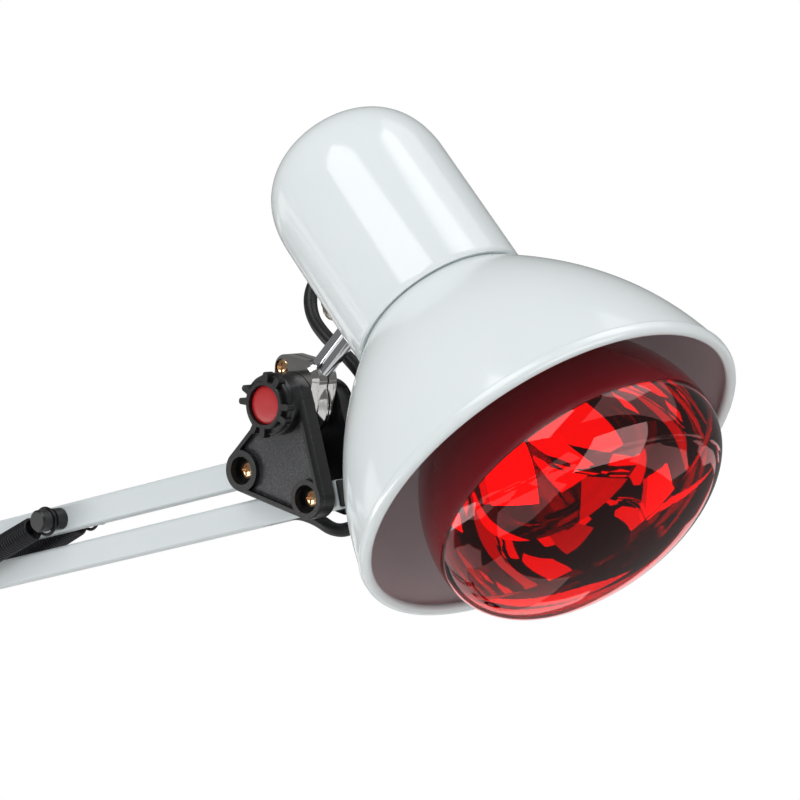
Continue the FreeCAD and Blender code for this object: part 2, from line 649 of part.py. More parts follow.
def pivot_screws(name, origin, points):
    """Screws from the front plate's counterbores to nuts in the back plate's pockets."""
    seat = size("plate_outside-counterbore_depth")
    end = size("plate_outside-0.4")
    pattern = screw_pattern(name + "_screw", "pivot_radius",
                            "plate_outside-counterbore_depth+plate_outside-0.4",
                            "screw_head_radius", "screw_head_height")
    nut = doc.addObject("PartDesign::Body", name + "_nut")
    sketch = draw_outline(new_sketch(nut, "top"), hexagon("nut_flats*0.575"))
    draw_circle(sketch, "0", "0", "pivot_radius")
    pad(nut, sketch, "nut_height-1")
    links = []
    for index, point in enumerate(points):
        for source, depth in ((pattern, -seat), (nut, end - size("nut_height-1") + 0.2)):
            link = doc.addObject("App::Link", "%s_%d" % (source.Name, index + 1))
            link.LinkedObject = source
            link.Placement = facing_front(point + Y_AXIS * depth)
            if source is nut:
                link.Placement = facing_back(point + Y_AXIS * depth)
            links.append(link)
    compound = doc.addObject("Part::Compound", name)
    compound.Links = links
    return keep(name, compound)


def make_bracket():
    """Head bracket: two moulded plates, their pivot screws and the bolt of the tilt joint."""
    left_x, left_z = relative(P_UPPER, KNUCKLE)
    right_x, right_z = relative(P_LOWER, KNUCKLE)
    pivots = [(left_x, left_z, "lobe_left_radius"), (right_x, right_z, "lobe_right_radius")]
    front_top = ("lobe_top_across", "-lobe_top_drop", "lobe_top_radius")
    rear_top = ("rear_top_across", "-rear_top_drop", "rear_top_radius")
    make_plate("bracket_front", AT_KNUCKLE, [front_top] + pivots, pivots, True,
               ("0", "0", "boss_radius", "boss_front"))
    make_plate("bracket_rear", AT_KNUCKLE, [rear_top] + pivots, pivots, False,
               ("0", "0", "rear_top_radius-1.5", "plate_outside"))
    pivot_screws("bracket_screws", KNUCKLE, [P_UPPER, P_LOWER])
    turned("tilt_bolt", [
        ("0", "-plate_outside-4.5"), ("6.4", "-plate_outside-3"), ("7.2", "-plate_outside"),
        ("pivot_radius", "-plate_outside"), ("pivot_radius", "knob_front-knob_recess-0.3"),
        ("0", "knob_front-knob_recess-0.3"),
    ], facing_front(KNUCKLE))


def make_knob():
    """Grip knob: flange, ring and four pairs of teeth, with a domed cap sunk in its face."""
    body = new_body("knob")
    revolve(body, draw_outline(new_sketch(body, "front"), [
        ("pivot_radius+pivot_play", "knob_back"), ("knob_flange_radius", "knob_back"),
        ("knob_flange_radius", "knob_flange_front-0.5"),
        ("knob_flange_radius-0.5", "knob_flange_front"),
        ("knob_ring_outer", "knob_flange_front"), ("knob_ring_outer", "knob_front-0.4"),
        ("knob_ring_outer-0.4", "knob_front"), ("knob_ring_inner", "knob_front"),
        ("knob_ring_inner", "knob_front-knob_recess"),
        ("pivot_radius+pivot_play", "knob_front-knob_recess"),
    ]))
    half = "knob_tooth_width/2"
    for degrees in (85, 54, -2, -29, -94, -120, 175, 149):
        tooth = new_sketch(body, "top", "knob_back")
        angle = math.radians(degrees)
        along, aside = (math.cos(angle), math.sin(angle)), (-math.sin(angle), math.cos(angle))
        ends = []
        for reach, side in (("knob_ring_outer-1", -1), ("knob_tooth_reach", -1),
                            ("knob_tooth_reach", 1), ("knob_ring_outer-1", 1)):
            ends.append(tuple("(%s)*%.6f+%s*%.6f" % (reach, along[axis], half, side * aside[axis])
                              for axis in (0, 1)))
        draw_outline(tooth, ends)
        pad(body, tooth, "knob_front-knob_back")
    reach = size("knob_tooth_reach")
    soften(body, "Fillet", "knob_tooth_width*0.42", lambda edge: (
        abs(edge.Vertexes[0].X - edge.Vertexes[-1].X) < 1e-4
        and abs(edge.Vertexes[0].Y - edge.Vertexes[-1].Y) < 1e-4
        and math.hypot(edge.Vertexes[0].X, edge.Vertexes[0].Y) > reach - 0.01))
    keep("knob", body, facing_front(KNUCKLE))
    turned("knob_cap", [
        ("0", "knob_front-knob_recess"), ("knob_cap_radius", "knob_front-knob_recess"),
        ("knob_cap_radius", "knob_front-knob_recess+0.7"),
        ("0", "knob_front-knob_recess+knob_cap_crown",
         ("knob_cap_radius*0.9", "knob_front-knob_recess+knob_cap_crown"),
         ("knob_cap_radius*0.5", "knob_front-knob_recess+knob_cap_crown")),
    ], facing_front(KNUCKLE))


def make_jaw():
    """Two die-cast halves that clamp the stem beside the tilt bolt."""
    stem = STEM_START - KNUCKLE
    socket = stem + STEM_AXIS * size("jaw_socket_along")
    for name, side in (("jaw_front", 1), ("jaw_rear", -1)):
        body = new_body(name)
        front = side == 1
        start = "jaw_inside" if front else "-jaw_inside"
        lobes = [("0", "0", "jaw_hub_radius"),
                 ("%.6f" % socket.x, "%.6f" % socket.z, "jaw_socket_radius"),
                 ("jaw_ear_across", "jaw_ear_up", "jaw_ear_radius")]
        pad(body, draw_hull(new_sketch(body, "front", start), lobes),
            "jaw_outside-jaw_inside", back=not front)
        outer = size("jaw_outside")
        soften(body, "Chamfer", "jaw_chamfer",
               lambda edge: all(abs(abs(v.Y) - outer) < 1e-4 for v in edge.Vertexes))
        rim = new_sketch(body, "front", start)
        draw_circle(rim, "0", "0", "jaw_rim_radius")
        pad(body, rim, "3.4", back=not front)
        rim_edge = size("jaw_inside") + 3.4
        soften(body, "Chamfer", "2.6", lambda edge: (
            edge.Curve.TypeId == "Part::GeomCircle" and abs(abs(edge.CenterOfMass.y) - rim_edge) < 1e-3
            and abs(edge.Curve.Radius - size("jaw_rim_radius")) < 1e-3))
        holes = new_sketch(body, "front")
        draw_circle(holes, "0", "0", "pivot_radius+pivot_play")
        draw_circle(holes, "jaw_ear_across", "jaw_ear_up", "jaw_screw_radius")
        pocket(body, holes)
        if front:
            seat = new_sketch(body, "front", "jaw_outside")
            draw_circle(seat, "jaw_ear_across", "jaw_ear_up", "screw_head_radius*0.86+0.2")
            pocket(body, seat, "screw_head_height+0.3")
        bore = aim(stem + STEM_AXIS * (size("stem_foot") - 0.6 + 15), Y_AXIS, STEM_AXIS)
        keep(name, drilled(name, body, [(bore, "stem_radius+stem_play", 15)]), AT_KNUCKLE)
    pattern = screw_pattern("jaw_screw_pattern", "jaw_screw_radius", "2*jaw_outside-screw_head_height-0.8",
                            "screw_head_radius*0.86", "screw_head_height")
    ear = KNUCKLE + V(size("jaw_ear_across"), 0, size("jaw_ear_up"))
    repeated("jaw_screw", pattern, [facing_front(ear - Y_AXIS * size("jaw_outside-screw_head_height-0.3"))])


# ---------------------------------------------------------------- arms
def make_bar(name, placement, length, slots=(), open_end=False):
    """Square tube with its cross holes and, on its lower wall, the slots for the flex."""
    body = new_body(name)
    half, inner = "bar_width/2", "bar_width/2-bar_wall"
    square = [("-" + half, "-" + half), (half, "-" + half), (half, half), ("-" + half, half)]
    outline = new_sketch(body, "side", "-bar_end")
    pad(body, draw_outline(outline, square), length + "+2*bar_end")
    soften(body, "Fillet", "bar_corner", lambda edge: (
        abs(edge.Vertexes[0].Y - edge.Vertexes[-1].Y) < 1e-4
        and abs(edge.Vertexes[0].Z - edge.Vertexes[-1].Z) < 1e-4))
    bore = [("-(%s)" % inner, "-(%s)" % inner), (inner, "-(%s)" % inner), (inner, inner),
            ("-(%s)" % inner, inner)]
    pocket(body, draw_outline(new_sketch(body, "side"), bore))
    holes = new_sketch(body, "front")
    draw_circle(holes, "0", "0", "pivot_radius+pivot_play")
    draw_circle(holes, length, "0", "pivot_radius+" + ("open_pivot_play" if open_end else "pivot_play"))
    pocket(body, holes)
    for start, end in slots:
        slot = new_sketch(body, "top", "-" + half)
        side = "flex_slot_width/2"
        draw_outline(slot, [("%g" % start, "-" + side), ("%g" % end, "-" + side),
                            ("%g" % end, side), ("%g" % start, side)])
        pocket(body, slot, "bar_wall+0.2", back=True)
    return keep(name, body, placement)


def make_arms():
    """The four tubes; the rear and the upper one are open at their far pivots."""
    make_bar("lower_front_bar", ALONG_LOWER_FRONT, "lower_arm_length", ((24, 56), (284, 316)))
    make_bar("lower_rear_bar", ALONG_LOWER_REAR, "lower_arm_length", open_end=True)
    make_bar("forearm_lower_bar", ALONG_FOREARM_LOWER, "forearm_length", ((20, 50), (300, 332)))
    make_bar("forearm_upper_bar", ALONG_FOREARM_UPPER, "forearm_length", open_end=True)


def peg_profile():
    """Stepped peg along +Z from the face that it stands on, with a groove for the hook."""
    return [("0", "0"), ("peg_radius", "0"), ("peg_radius", "peg_neck_start"),
            ("peg_neck_radius", "peg_neck_start+0.6"), ("peg_neck_radius", "peg_neck_end-0.4"),
            ("peg_radius", "peg_neck_end"), ("peg_radius", "peg_length-0.8"),
            ("peg_radius-0.8", "peg_length"), ("0", "peg_length")]


def make_pegs(name, centre, face):
    """A pair of pegs, one on each side, standing on faces at +-face."""
    pattern = new_body(name + "_pattern")
    revolve(pattern, draw_outline(new_sketch(pattern, "front"), peg_profile()))
    return repeated(name, pattern, [facing_front(centre - Y_AXIS * face),
                                    facing_back(centre + Y_AXIS * face)])


def spring_pair(name, start, start_face, end, end_face, lead, far_lead):
    """Tension springs on both sides, each a coil's outer cylinder with hooks round the pegs."""
    groove = size("(peg_neck_start+peg_neck_end)/2+0.1")
    wire, radius = size("spring_wire"), size("spring_radius")
    loop = size("peg_neck_radius+spring_wire+0.25")
    springs = []
    for side in (-1, 1):
        hook = start + Y_AXIS * side * (start_face + groove)
        far_hook = end + Y_AXIS * side * (end_face + groove)
        along = (far_hook - hook).normalize()
        first, last = hook + along * lead, far_hook - along * far_lead
        coil = Part.makeCylinder(radius, (last - first).Length, first, along)
        pieces = [coil, rod_between(hook + along * loop, first + along, wire),
                  rod_between(last - along, far_hook - along * loop, wire),
                  Part.makeTorus(loop, wire, hook, Y_AXIS), Part.makeTorus(loop, wire, far_hook, Y_AXIS)]
        springs.append(fused(pieces))
    return shaped(name, Part.makeCompound(springs))


def make_springs():
    """Balance springs of both arms and the pegs that they hook on."""
    bar_face = size("bar_width/2")
    plate_face = size("plate_outside")
    upper_peg = E_UPPER + FOREARM_AXIS * size("forearm_peg_along")
    elbow_peg = (F_REAR + F_FRONT) * 0.5 - Z_AXIS * 4
    make_pegs("forearm_pegs", upper_peg, bar_face)
    make_pegs("elbow_pegs", elbow_peg, plate_face)
    spring_pair("forearm_springs", upper_peg, bar_face, elbow_peg, plate_face,
                size("spring_lead"), size("spring_far_lead"))
    arm_peg = B_FRONT + LOWER_AXIS * size("lower_peg_along")
    turret_peg = TURRET_PEG
    make_pegs("lower_arm_pegs", arm_peg, bar_face)
    make_pegs("turret_pegs", turret_peg, size("yoke_cheek"))
    spring_pair("lower_arm_springs", arm_peg, bar_face, turret_peg, size("yoke_cheek"),
                size("spring_lead"), size("spring_far_lead") - 12)


def make_elbow():
    """Moulded plates that hold both arms' pivots, with their screws."""
    rows = [F_REAR, F_FRONT, E_LOWER, E_UPPER]
    radius = "lobe_left_radius"
    pivots = [relative(point, F_REAR) + (radius,) for point in rows]
    peg_x, peg_z = relative((F_REAR + F_FRONT) * 0.5 - Z_AXIS * 4, F_REAR)
    pegs = [(peg_x, peg_z, "5.6")]
    make_plate("elbow_front", AT_ELBOW, pivots, pivots, True, pegs=pegs)
    make_plate("elbow_rear", AT_ELBOW, pivots, pivots, False, pegs=pegs)
    pivot_screws("elbow_screws", F_REAR, rows)


# ---------------------------------------------------------------- turret and clamp
TURRET_PEG = V(-24, 0, 60)


def make_turret():
    """Yoke that the lower arm stands in, turning on a steel spigot in the clamp's socket."""
    body = new_body("turret_yoke")
    disc = new_sketch(body, "top", "yoke_floor")
    draw_circle(disc, "0", "0", "yoke_radius")
    pad(body, disc, "yoke_deck-yoke_floor")
    height = "base_pivot_height"
    for front in (True, False):
        start = "plate_inside" if front else "-plate_inside"
        cheek = new_sketch(body, "front", start)
        draw_hull(cheek, [
            ("-base_pivot_half", height, "yoke_lobe"),
            ("%g" % TURRET_PEG.x, "%g" % TURRET_PEG.z, "6.5"), ("-12", "yoke_deck-2", "5"),
            ("13", "yoke_deck-2", "5"), ("base_pivot_half", height, "yoke_lobe")])
        pad(body, cheek, "yoke_cheek-plate_inside", back=not front)
        spacer = new_sketch(body, "front", "spacer_inside" if front else "-spacer_inside")
        draw_circle(spacer, "-base_pivot_half", height, "spacer_radius")
        draw_circle(spacer, "base_pivot_half", height, "spacer_radius")
        pad(body, spacer, "plate_inside-spacer_inside+0.2", back=not front)
    holes = new_sketch(body, "front")
    draw_circle(holes, "-base_pivot_half", height, "pivot_radius+pivot_play")
    draw_circle(holes, "base_pivot_half", height, "pivot_radius+pivot_play")
    pocket(body, holes)
    socket = new_sketch(body, "top", "spigot_top")
    draw_circle(socket, "0", "0", "spigot_radius")
    pocket(body, socket, "spigot_top-yoke_floor+1")
    keep("turret_yoke", body)
    turned("spigot", [
        ("0", "spigot_bottom"), ("spigot_radius-1", "spigot_bottom"),
        ("spigot_radius", "spigot_bottom+1"), ("spigot_radius", "spigot_top"), ("0", "spigot_top"),
    ])
    pattern = screw_pattern("turret_screw_pattern", "pivot_radius", "2*yoke_cheek-0.5",
                            "screw_head_radius", "screw_head_height")
    repeated("turret_screws", pattern, [facing_front(point - Y_AXIS * size("yoke_cheek"))
                                        for point in (B_REAR, B_FRONT)])


def make_clamp():
    """Cast C-frame with ribs, its lined socket, the pads and the screw with its tommy bar."""
    body = new_body("clamp_frame")
    back, spine = "clamp_back", "clamp_back+clamp_spine"
    floor, bottom = "clamp_depth", "clamp_depth-clamp_lower_arm"
    draw = draw_outline(new_sketch(body, "front"), [
        (back, bottom), ("clamp_lower_reach", bottom), ("clamp_lower_reach", floor),
        (spine, floor), (spine, "pad_height"), ("clamp_reach", "pad_height"), ("clamp_reach", "clamp_arm"),
        (back, "clamp_arm")])
    pad(body, draw, "clamp_width", centred=True)
    corners = {(size(spine), size(floor)): 5, (size(back), size(bottom)): 9,
               (size(back), size("clamp_arm")): 9}
    for (across, up), radius in corners.items():
        soften(body, "Fillet", "%g" % radius, lambda edge: all(
            abs(vertex.X - across) < 1e-4 and abs(vertex.Z - up) < 1e-4
            for vertex in edge.Vertexes))
    rib = "clamp_rib"
    for front in (True, False):
        recess = new_sketch(body, "front", "clamp_width/2" if front else "-clamp_width/2")
        draw_outline(recess, [
            ("%s+%s" % (back, rib), "-8"), ("%s-%s" % (spine, rib) + "+1", "-8"),
            ("%s-%s" % (spine, rib) + "+1", "%s+8" % floor), ("%s+%s" % (back, rib), "%s+8" % floor)])
        pocket(body, recess, "clamp_recess", back=not front)
    boss = new_sketch(body, "top", "clamp_arm-1")
    draw_circle(boss, "0", "0", "socket_radius")
    pad(body, boss, "boss_height-clamp_arm+1")
    screw_boss = new_sketch(body, "top", bottom + "-screw_boss_extra")
    draw_circle(screw_boss, "clamp_screw_across", "0", "screw_boss_radius")
    pad(body, screw_boss, "clamp_lower_arm+2*screw_boss_extra")
    bore = new_sketch(body, "top", "boss_height")
    draw_circle(bore, "0", "0", "bush_radius")
    pocket(body, bore, "boss_height-bush_floor")
    thread = new_sketch(body, "top", floor + "+screw_boss_extra")
    draw_circle(thread, "clamp_screw_across", "0", "clamp_screw_radius+pivot_play")
    pocket(body, thread, "clamp_lower_arm+2*screw_boss_extra+1")
    keep("clamp_frame", body)
    turned("socket_bush", [
        ("spigot_radius+bush_play", "bush_floor"), ("bush_radius", "bush_floor"),
        ("bush_radius", "boss_height"), ("spigot_radius+bush_play", "boss_height"),
    ])
    top_pad = new_body("clamp_top_pad")
    pad_sketch = draw_outline(new_sketch(top_pad, "top", "0"), [
        ("clamp_back+clamp_spine+4", "-clamp_width/2+2"), ("clamp_reach-1", "-clamp_width/2+2"),
        ("clamp_reach-1", "clamp_width/2-2"), ("clamp_back+clamp_spine+4", "clamp_width/2-2")])
    pad(top_pad, pad_sketch, "pad_height")
    soften(top_pad, "Fillet", "3", lambda edge: (
        abs(edge.Vertexes[0].Z - edge.Vertexes[-1].Z) > 1))
    keep("clamp_top_pad", top_pad)
    make_clamp_screw()


def make_clamp_screw():
    """Screw with its swivelling foot, rubber pad and sliding tommy bar."""
    top = "(-board)"
    along = FreeCAD.Placement(V(size("clamp_screw_across"), 0, 0), FreeCAD.Rotation())
    turned("clamp_foot_pad", [
        ("0", top + "-pad_height"), ("foot_radius-1", top + "-pad_height"),
        ("foot_radius-1", top + "-0.6"), ("foot_radius-1.6", top), ("0", top),
    ], along)
    seat = top + "-pad_height"
    turned("clamp_foot", [
        ("0", seat), ("foot_radius", seat), ("foot_radius", seat + "-1.5"),
        ("foot_radius-3", seat + "-foot_height"),
        ("clamp_screw_radius-1+pivot_play", seat + "-foot_height"),
        ("clamp_screw_radius-1+pivot_play", seat + "-1.2"), ("0", seat + "-1.2"),
    ], along)
    turned("clamp_screw", [
        ("0", seat + "-1.3"), ("clamp_screw_radius-1", seat + "-1.3"),
        ("clamp_screw_radius-1", seat + "-foot_height-0.3"),
        ("clamp_screw_radius", seat + "-foot_height-0.3"),
        ("clamp_screw_radius", "clamp_screw_bottom+14"), ("7", "clamp_screw_bottom+12"),
        ("7", "clamp_screw_bottom+1"), ("6", "clamp_screw_bottom"), ("0", "clamp_screw_bottom"),
    ], along)
    centre = V(size("clamp_screw_across"), 0, size("clamp_screw_bottom") + 6.5)
    blank = NODES.pop("clamp_screw")
    blank.Label = "clamp_screw_blank"
    blank.Placement = FreeCAD.Placement()
    cross_hole = aim(centre - V(size("clamp_screw_across"), 0, 0), X_AXIS, Y_AXIS)
    keep("clamp_screw", drilled("clamp_screw", blank, [(cross_hole, "tommy_radius", 30)]), along)
    turned("tommy_bar", [
        ("0", "-tommy_length/2"), ("tommy_radius", "-tommy_length/2"), ("tommy_radius", "tommy_length/2-4"),
        ("tommy_radius+1.4", "tommy_length/2-3"), ("tommy_radius+1.4", "tommy_length/2-0.8"),
        ("tommy_radius+0.6", "tommy_length/2"), ("0", "tommy_length/2"),
    ], aim(centre, X_AXIS, Y_AXIS))


# ---------------------------------------------------------------- flex
def along_bar(placement, along, up):
    """A point given along a tube and above its middle."""
    return placement.multVec(V(along, 0, up))


def from_knuckle(across, back, up):
    """A point given from the tilt axis."""
    return KNUCKLE + V(across, back, up)


def flex_tube(name, route):
    """Round flex along straight runs joined by tangent arcs; checks its volume, prints its radii."""
    edges = []
    radii = []
    reached = route[0]
    for index in range(1, len(route) - 1):
        corner = route[index]
        towards = (route[index - 1] - corner)
        away = (route[index + 1] - corner)
        shorter = min(towards.Length, away.Length)
        towards.normalize()
        away.normalize()
        turn = math.pi - towards.getAngle(away)
        trim = 0.45 * shorter
        radius = trim / math.tan(turn / 2)
        radii.append(radius)
        begin, end = corner + towards * trim, corner + away * trim
        centre_line = (towards + away).normalize()
        middle = corner + centre_line * (radius / math.cos(turn / 2) - radius)
        edges.append(Part.LineSegment(reached, begin).toShape())
        edges.append(Part.Arc(begin, middle, end).toShape())
        reached = end
    edges.append(Part.LineSegment(reached, route[-1]).toShape())
    path = Part.Wire(edges)
    start = route[1] - route[0]
    circle = Part.Circle(route[0], start, size("flex_radius"))
    profile = Part.Wire([circle.toShape()])
    tube = path.makePipeShell([profile], True, False)
    expected = math.pi * size("flex_radius") ** 2 * path.Length
    if abs(tube.Volume / expected - 1) > 0.02:
        raise RuntimeError("%s: volume %.0f, expected %.0f" % (name, tube.Volume, expected))
    print("%s: length %.0f mm, arc radii %s" % (
        name, path.Length, " ".join("%.0f" % radius for radius in radii)))
    return shaped(name, tube), path.Length


FLEX_DROP = -1.9
EXIT_PLACE = on_neck(*FLEX_EXIT)
NECK_POINTS = [
    EXIT_PLACE.multVec(V(0, 0, 3.6)),
    EXIT_PLACE.multVec(V(0, 0, 13)),
    from_knuckle(14, 48.5, 54.5),
    from_knuckle(-4, 42, 59.5),
    from_knuckle(-17, 33.5, 56),
    from_knuckle(-20.5, 27, 46),
]
KNUCKLE_POINTS = [
    from_knuckle(-15.5, 22.5, 34.5),
    from_knuckle(-4, 20, 25.5),
    from_knuckle(8, 21, 17.5),
    from_knuckle(17, 22, 8),
    from_knuckle(22.5, 23, -4),
]
BRACKET_POINTS = [
    from_knuckle(26, 23.5, -17),
    from_knuckle(30, 21, -31),
    from_knuckle(31, 13, -43),
    from_knuckle(27, 5.5, -51),
    from_knuckle(18, 1, -54.5),
    along_bar(ALONG_FOREARM_LOWER, 328, FLEX_DROP - 5),
    along_bar(ALONG_FOREARM_LOWER, 314, FLEX_DROP),
    along_bar(ALONG_FOREARM_LOWER, 298, FLEX_DROP),
]
ELBOW_UPPER_POINTS = [
    along_bar(ALONG_FOREARM_LOWER, 54, FLEX_DROP),
    along_bar(ALONG_FOREARM_LOWER, 43, FLEX_DROP),
    along_bar(ALONG_FOREARM_LOWER, 33.5, FLEX_DROP - 4.5),
    along_bar(ALONG_FOREARM_LOWER, 26, FLEX_DROP - 13),
]
ELBOW_LOWER_POINTS = [
    F_FRONT + V(32, 0, -7),
    F_FRONT + V(29.5, 0, -19),
    along_bar(ALONG_LOWER_FRONT, 302, -7.5),
    along_bar(ALONG_LOWER_FRONT, 289, FLEX_DROP),
    along_bar(ALONG_LOWER_FRONT, 276, FLEX_DROP),
]
BASE_UPPER_POINTS = [
    along_bar(ALONG_LOWER_FRONT, 62, FLEX_DROP),
    along_bar(ALONG_LOWER_FRONT, 50, FLEX_DROP),
    along_bar(ALONG_LOWER_FRONT, 38.5, FLEX_DROP - 5.5),
    along_bar(ALONG_LOWER_FRONT, 28.5, FLEX_DROP - 15) + V(1, 1, 0),
    V(32, 2.5, 66),
]
CLIP = V(24, 0, 11.4)
BASE_LOWER_POINTS = [
    V(38.5, -6, 38),
    V(41, -16, 27.5),
    V(39, -26, 18.5),
    V(33.5, -32, 13),
    V(27, -29.5, 11.4),
    V(24.6, -20, 11.4),
    CLIP + V(0, -9, 0),
    CLIP + V(0, 9, 0),
]


def halfway(route, following):
    """Middle of the run between two routes, so that both meet it in line."""
    return (route[-1] + following[0]) * 0.5


KNUCKLE_START = halfway(NECK_POINTS, KNUCKLE_POINTS)
BRACKET_START = halfway(KNUCKLE_POINTS, BRACKET_POINTS)
ELBOW_MIDDLE = halfway(ELBOW_UPPER_POINTS, ELBOW_LOWER_POINTS)
BASE_MIDDLE = halfway(BASE_UPPER_POINTS, BASE_LOWER_POINTS)
HELD_ROUTES = {
    "neck_flex": NECK_POINTS + [KNUCKLE_START],
    "knuckle_flex": [KNUCKLE_START] + KNUCKLE_POINTS + [BRACKET_START],
    "bracket_flex": [BRACKET_START] + BRACKET_POINTS,
    "elbow_flex_upper": ELBOW_UPPER_POINTS + [ELBOW_MIDDLE],
    "elbow_flex_lower": [ELBOW_MIDDLE] + ELBOW_LOWER_POINTS,
    "base_flex_upper": BASE_UPPER_POINTS + [BASE_MIDDLE],
    "base_flex_lower": [BASE_MIDDLE] + BASE_LOWER_POINTS,
}
FIRST_LEAD_ROUTE = [
    CLIP + V(0, 9, 0),
    CLIP + V(0, 22, 0),
    V(25, 36, 7.5),
    V(29, 50, 3.4),
    V(36, 66, 3),
    V(40.5, 82, 3),
    V(43, 97, 3),
]
SWITCH_AXIS = V(0.16, 0.987, 0).normalize()
SWITCH = V(43, 97, 0)
SWITCH_END = SWITCH + SWITCH_AXIS * size("switch_length")
COIL = V(22, 218, 0)
SECOND_LEAD_ROUTE = [
    SWITCH_END + Z_AXIS * 3,
    SWITCH_END + SWITCH_AXIS * 11 + V(0, 0, 3),
    V(59.5, 180, 3),
    V(62, 192, 3),
    V(61, 205, 3),
]
PLUG_TAIL = V(-26, 162, 18.5)
PLUG_AXIS = V(-0.1, -1, 0).normalize()
THIRD_LEAD_ROUTE = [
    V(-19.5, 215, 9.1),
    V(-20, 199, 10.5),
    V(-22, 184, 15.5),
    PLUG_TAIL - PLUG_AXIS * 7,
    PLUG_TAIL,
]


def make_flex():
    """All stretches of the flex, the coil, the in-line switch and the plug."""
    for name, route in HELD_ROUTES.items():
        flex_tube(name, route)
    radius = size("flex_radius")
    shaped("forearm_flex", rod_between(ELBOW_UPPER_POINTS[0], BRACKET_POINTS[-1], radius))
    shaped("lower_arm_flex", rod_between(BASE_UPPER_POINTS[0], ELBOW_LOWER_POINTS[-1], radius))
    stretches = [flex_tube("lead_stretch", route)
                 for route in (FIRST_LEAD_ROUTE, SECOND_LEAD_ROUTE, THIRD_LEAD_ROUTE)]
    NODES.pop("lead_stretch")
    shaped("mains_lead", Part.makeCompound([feature.Shape for feature, length in stretches]))
    coiled = size("flex_length") - sum(length for feature, length in stretches)
    print("lead_coil: %.0f mm in %.1f turns" % (
        coiled, coiled / (2 * math.pi * size("coil_mean_radius"))))
    turned("lead_coil", [
        ("coil_mean_radius-coil_half_width+2.5", "0"), ("coil_mean_radius+coil_half_width-2.5", "0"),
        ("coil_mean_radius+coil_half_width", "2.5"),
        ("coil_mean_radius+coil_half_width", "coil_height-2.5"),
        ("coil_mean_radius+coil_half_width-2.5", "coil_height"),
        ("coil_mean_radius-coil_half_width+2.5", "coil_height"),
        ("coil_mean_radius-coil_half_width", "coil_height-2.5"),
        ("coil_mean_radius-coil_half_width", "2.5"),
    ], FreeCAD.Placement(COIL, FreeCAD.Rotation()))


def make_cord_clip():
    """Saddle on the clamp's arm that holds the flex."""
    body = new_body("cord_clip")
    across, up = "%g" % CLIP.x, "%g" % CLIP.z
    saddle = draw_hull(new_sketch(body, "front"), [
        ("%g" % (CLIP.x - 6), "clamp_arm+1", "1"), ("%g" % (CLIP.x + 5), "clamp_arm+1", "1"),
        (across, up, "flex_radius+1.4")])
    pad(body, saddle, "8", back=True)
    bore = new_sketch(body, "front")
    draw_circle(bore, across, up, "flex_radius+bush_play")
    pocket(body, bore)
    keep("cord_clip", body)


def make_switch():
    """In-line rocker switch: a waisted housing with a well, and the rocker on its trunnions."""
    place = aim(SWITCH, SWITCH_AXIS, Z_AXIS)
    middle = "switch_length/2"
    body = new_body("switch_housing")
    end = "switch_width*0.3"
    draw = draw_hull(new_sketch(body, "top"), [
        (end, "0", end), (middle, "0", "switch_width/2"), ("switch_length-" + end, "0", end),
        (middle, "0", "switch_width/2")])
    pad(body, draw, "switch_height")
    top = size("switch_height")
    soften(body, "Fillet", "3.2", lambda edge: all(
        abs(vertex.Z - top) < 1e-4 for vertex in edge.Vertexes))
    soften(body, "Chamfer", "0.8", lambda edge: all(abs(vertex.Z) < 1e-4 for vertex in edge.Vertexes))
    well = new_sketch(body, "top", "switch_height")
    long, wide = "(rocker_length/2+rocker_play)", "(rocker_width/2+rocker_play)"
    draw_outline(well, [(middle + "-" + long, "-" + wide), (middle + "+" + long, "-" + wide),
                        (middle + "+" + long, wide), (middle + "-" + long, wide)])
    pocket(body, well, "9")
    bearing = new_sketch(body, "front")
    draw_circle(bearing, middle, "rocker_pivot", "1.2+pivot_play")
    pocket(body, bearing, "rocker_width+2.6", centred=True)
    keep("switch_housing", body, place)
    rocker = new_body("switch_rocker")
    profile = draw_outline(new_sketch(rocker, "front"), [
        (middle + "-rocker_length/2", "rocker_pivot-1.5"), (middle + "-4", "rocker_pivot-4.2"),
        (middle + "+4", "rocker_pivot-4.2"), (middle + "+rocker_length/2", "rocker_pivot-1.5"),
        (middle + "+rocker_length/2", "rocker_pivot+2.6"), (middle, "rocker_pivot+4.4"),
        (middle + "-rocker_length/2", "rocker_pivot+2.6")])
    pad(rocker, profile, "rocker_width", centred=True)
    pin = new_sketch(rocker, "front")
    draw_circle(pin, middle, "rocker_pivot", "1.2")
    pad(rocker, pin, "rocker_width+2.2", centred=True)
    keep("switch_rocker", rocker, place)


def make_plug():
    """Round mains plug with a ribbed tail and its two pins."""
    place = aim(PLUG_TAIL, V(0, 0, 1), PLUG_AXIS)
    turned("plug_body", [
        ("flex_radius+0.05", "0"), ("flex_radius+1", "0"), ("6.2", "24"), ("9", "26"),
        ("15", "34", ("13", "27"), ("15", "30")), ("15", "44"), ("plug_radius", "48"),
        ("plug_radius", "57"), ("plug_radius-1", "58"), ("0", "58"), ("0", "6"), ("flex_radius+0.05", "6"),
    ], place)
    pin = new_body("plug_pin_pattern")
    revolve(pin, draw_outline(new_sketch(pin, "front"), [
        ("0", "0"), ("pin_radius", "0"), ("pin_radius", "pin_length-1.6"),
        ("0", "pin_length", ("pin_radius", "pin_length-0.4"), ("pin_radius*0.6", "pin_length"))]))
    pins = []
    for side in (-0.5, 0.5):
        spot = place.multVec(V(0, side * size("pin_spacing"), 58))
        pins.append(aim(spot, Z_AXIS, PLUG_AXIS))
    repeated("plug_pins", pin, pins)


# ---------------------------------------------------------------- build, check and write
STEPS = (make_shade, make_neck_cap, make_lampholder, make_bulb, make_stem, make_bracket, make_knob,
         make_jaw, make_arms, make_springs, make_elbow, make_turret, make_clamp, make_cord_clip,
         make_flex, make_switch, make_plug)
for step in STEPS:
    step()
doc.recompute()

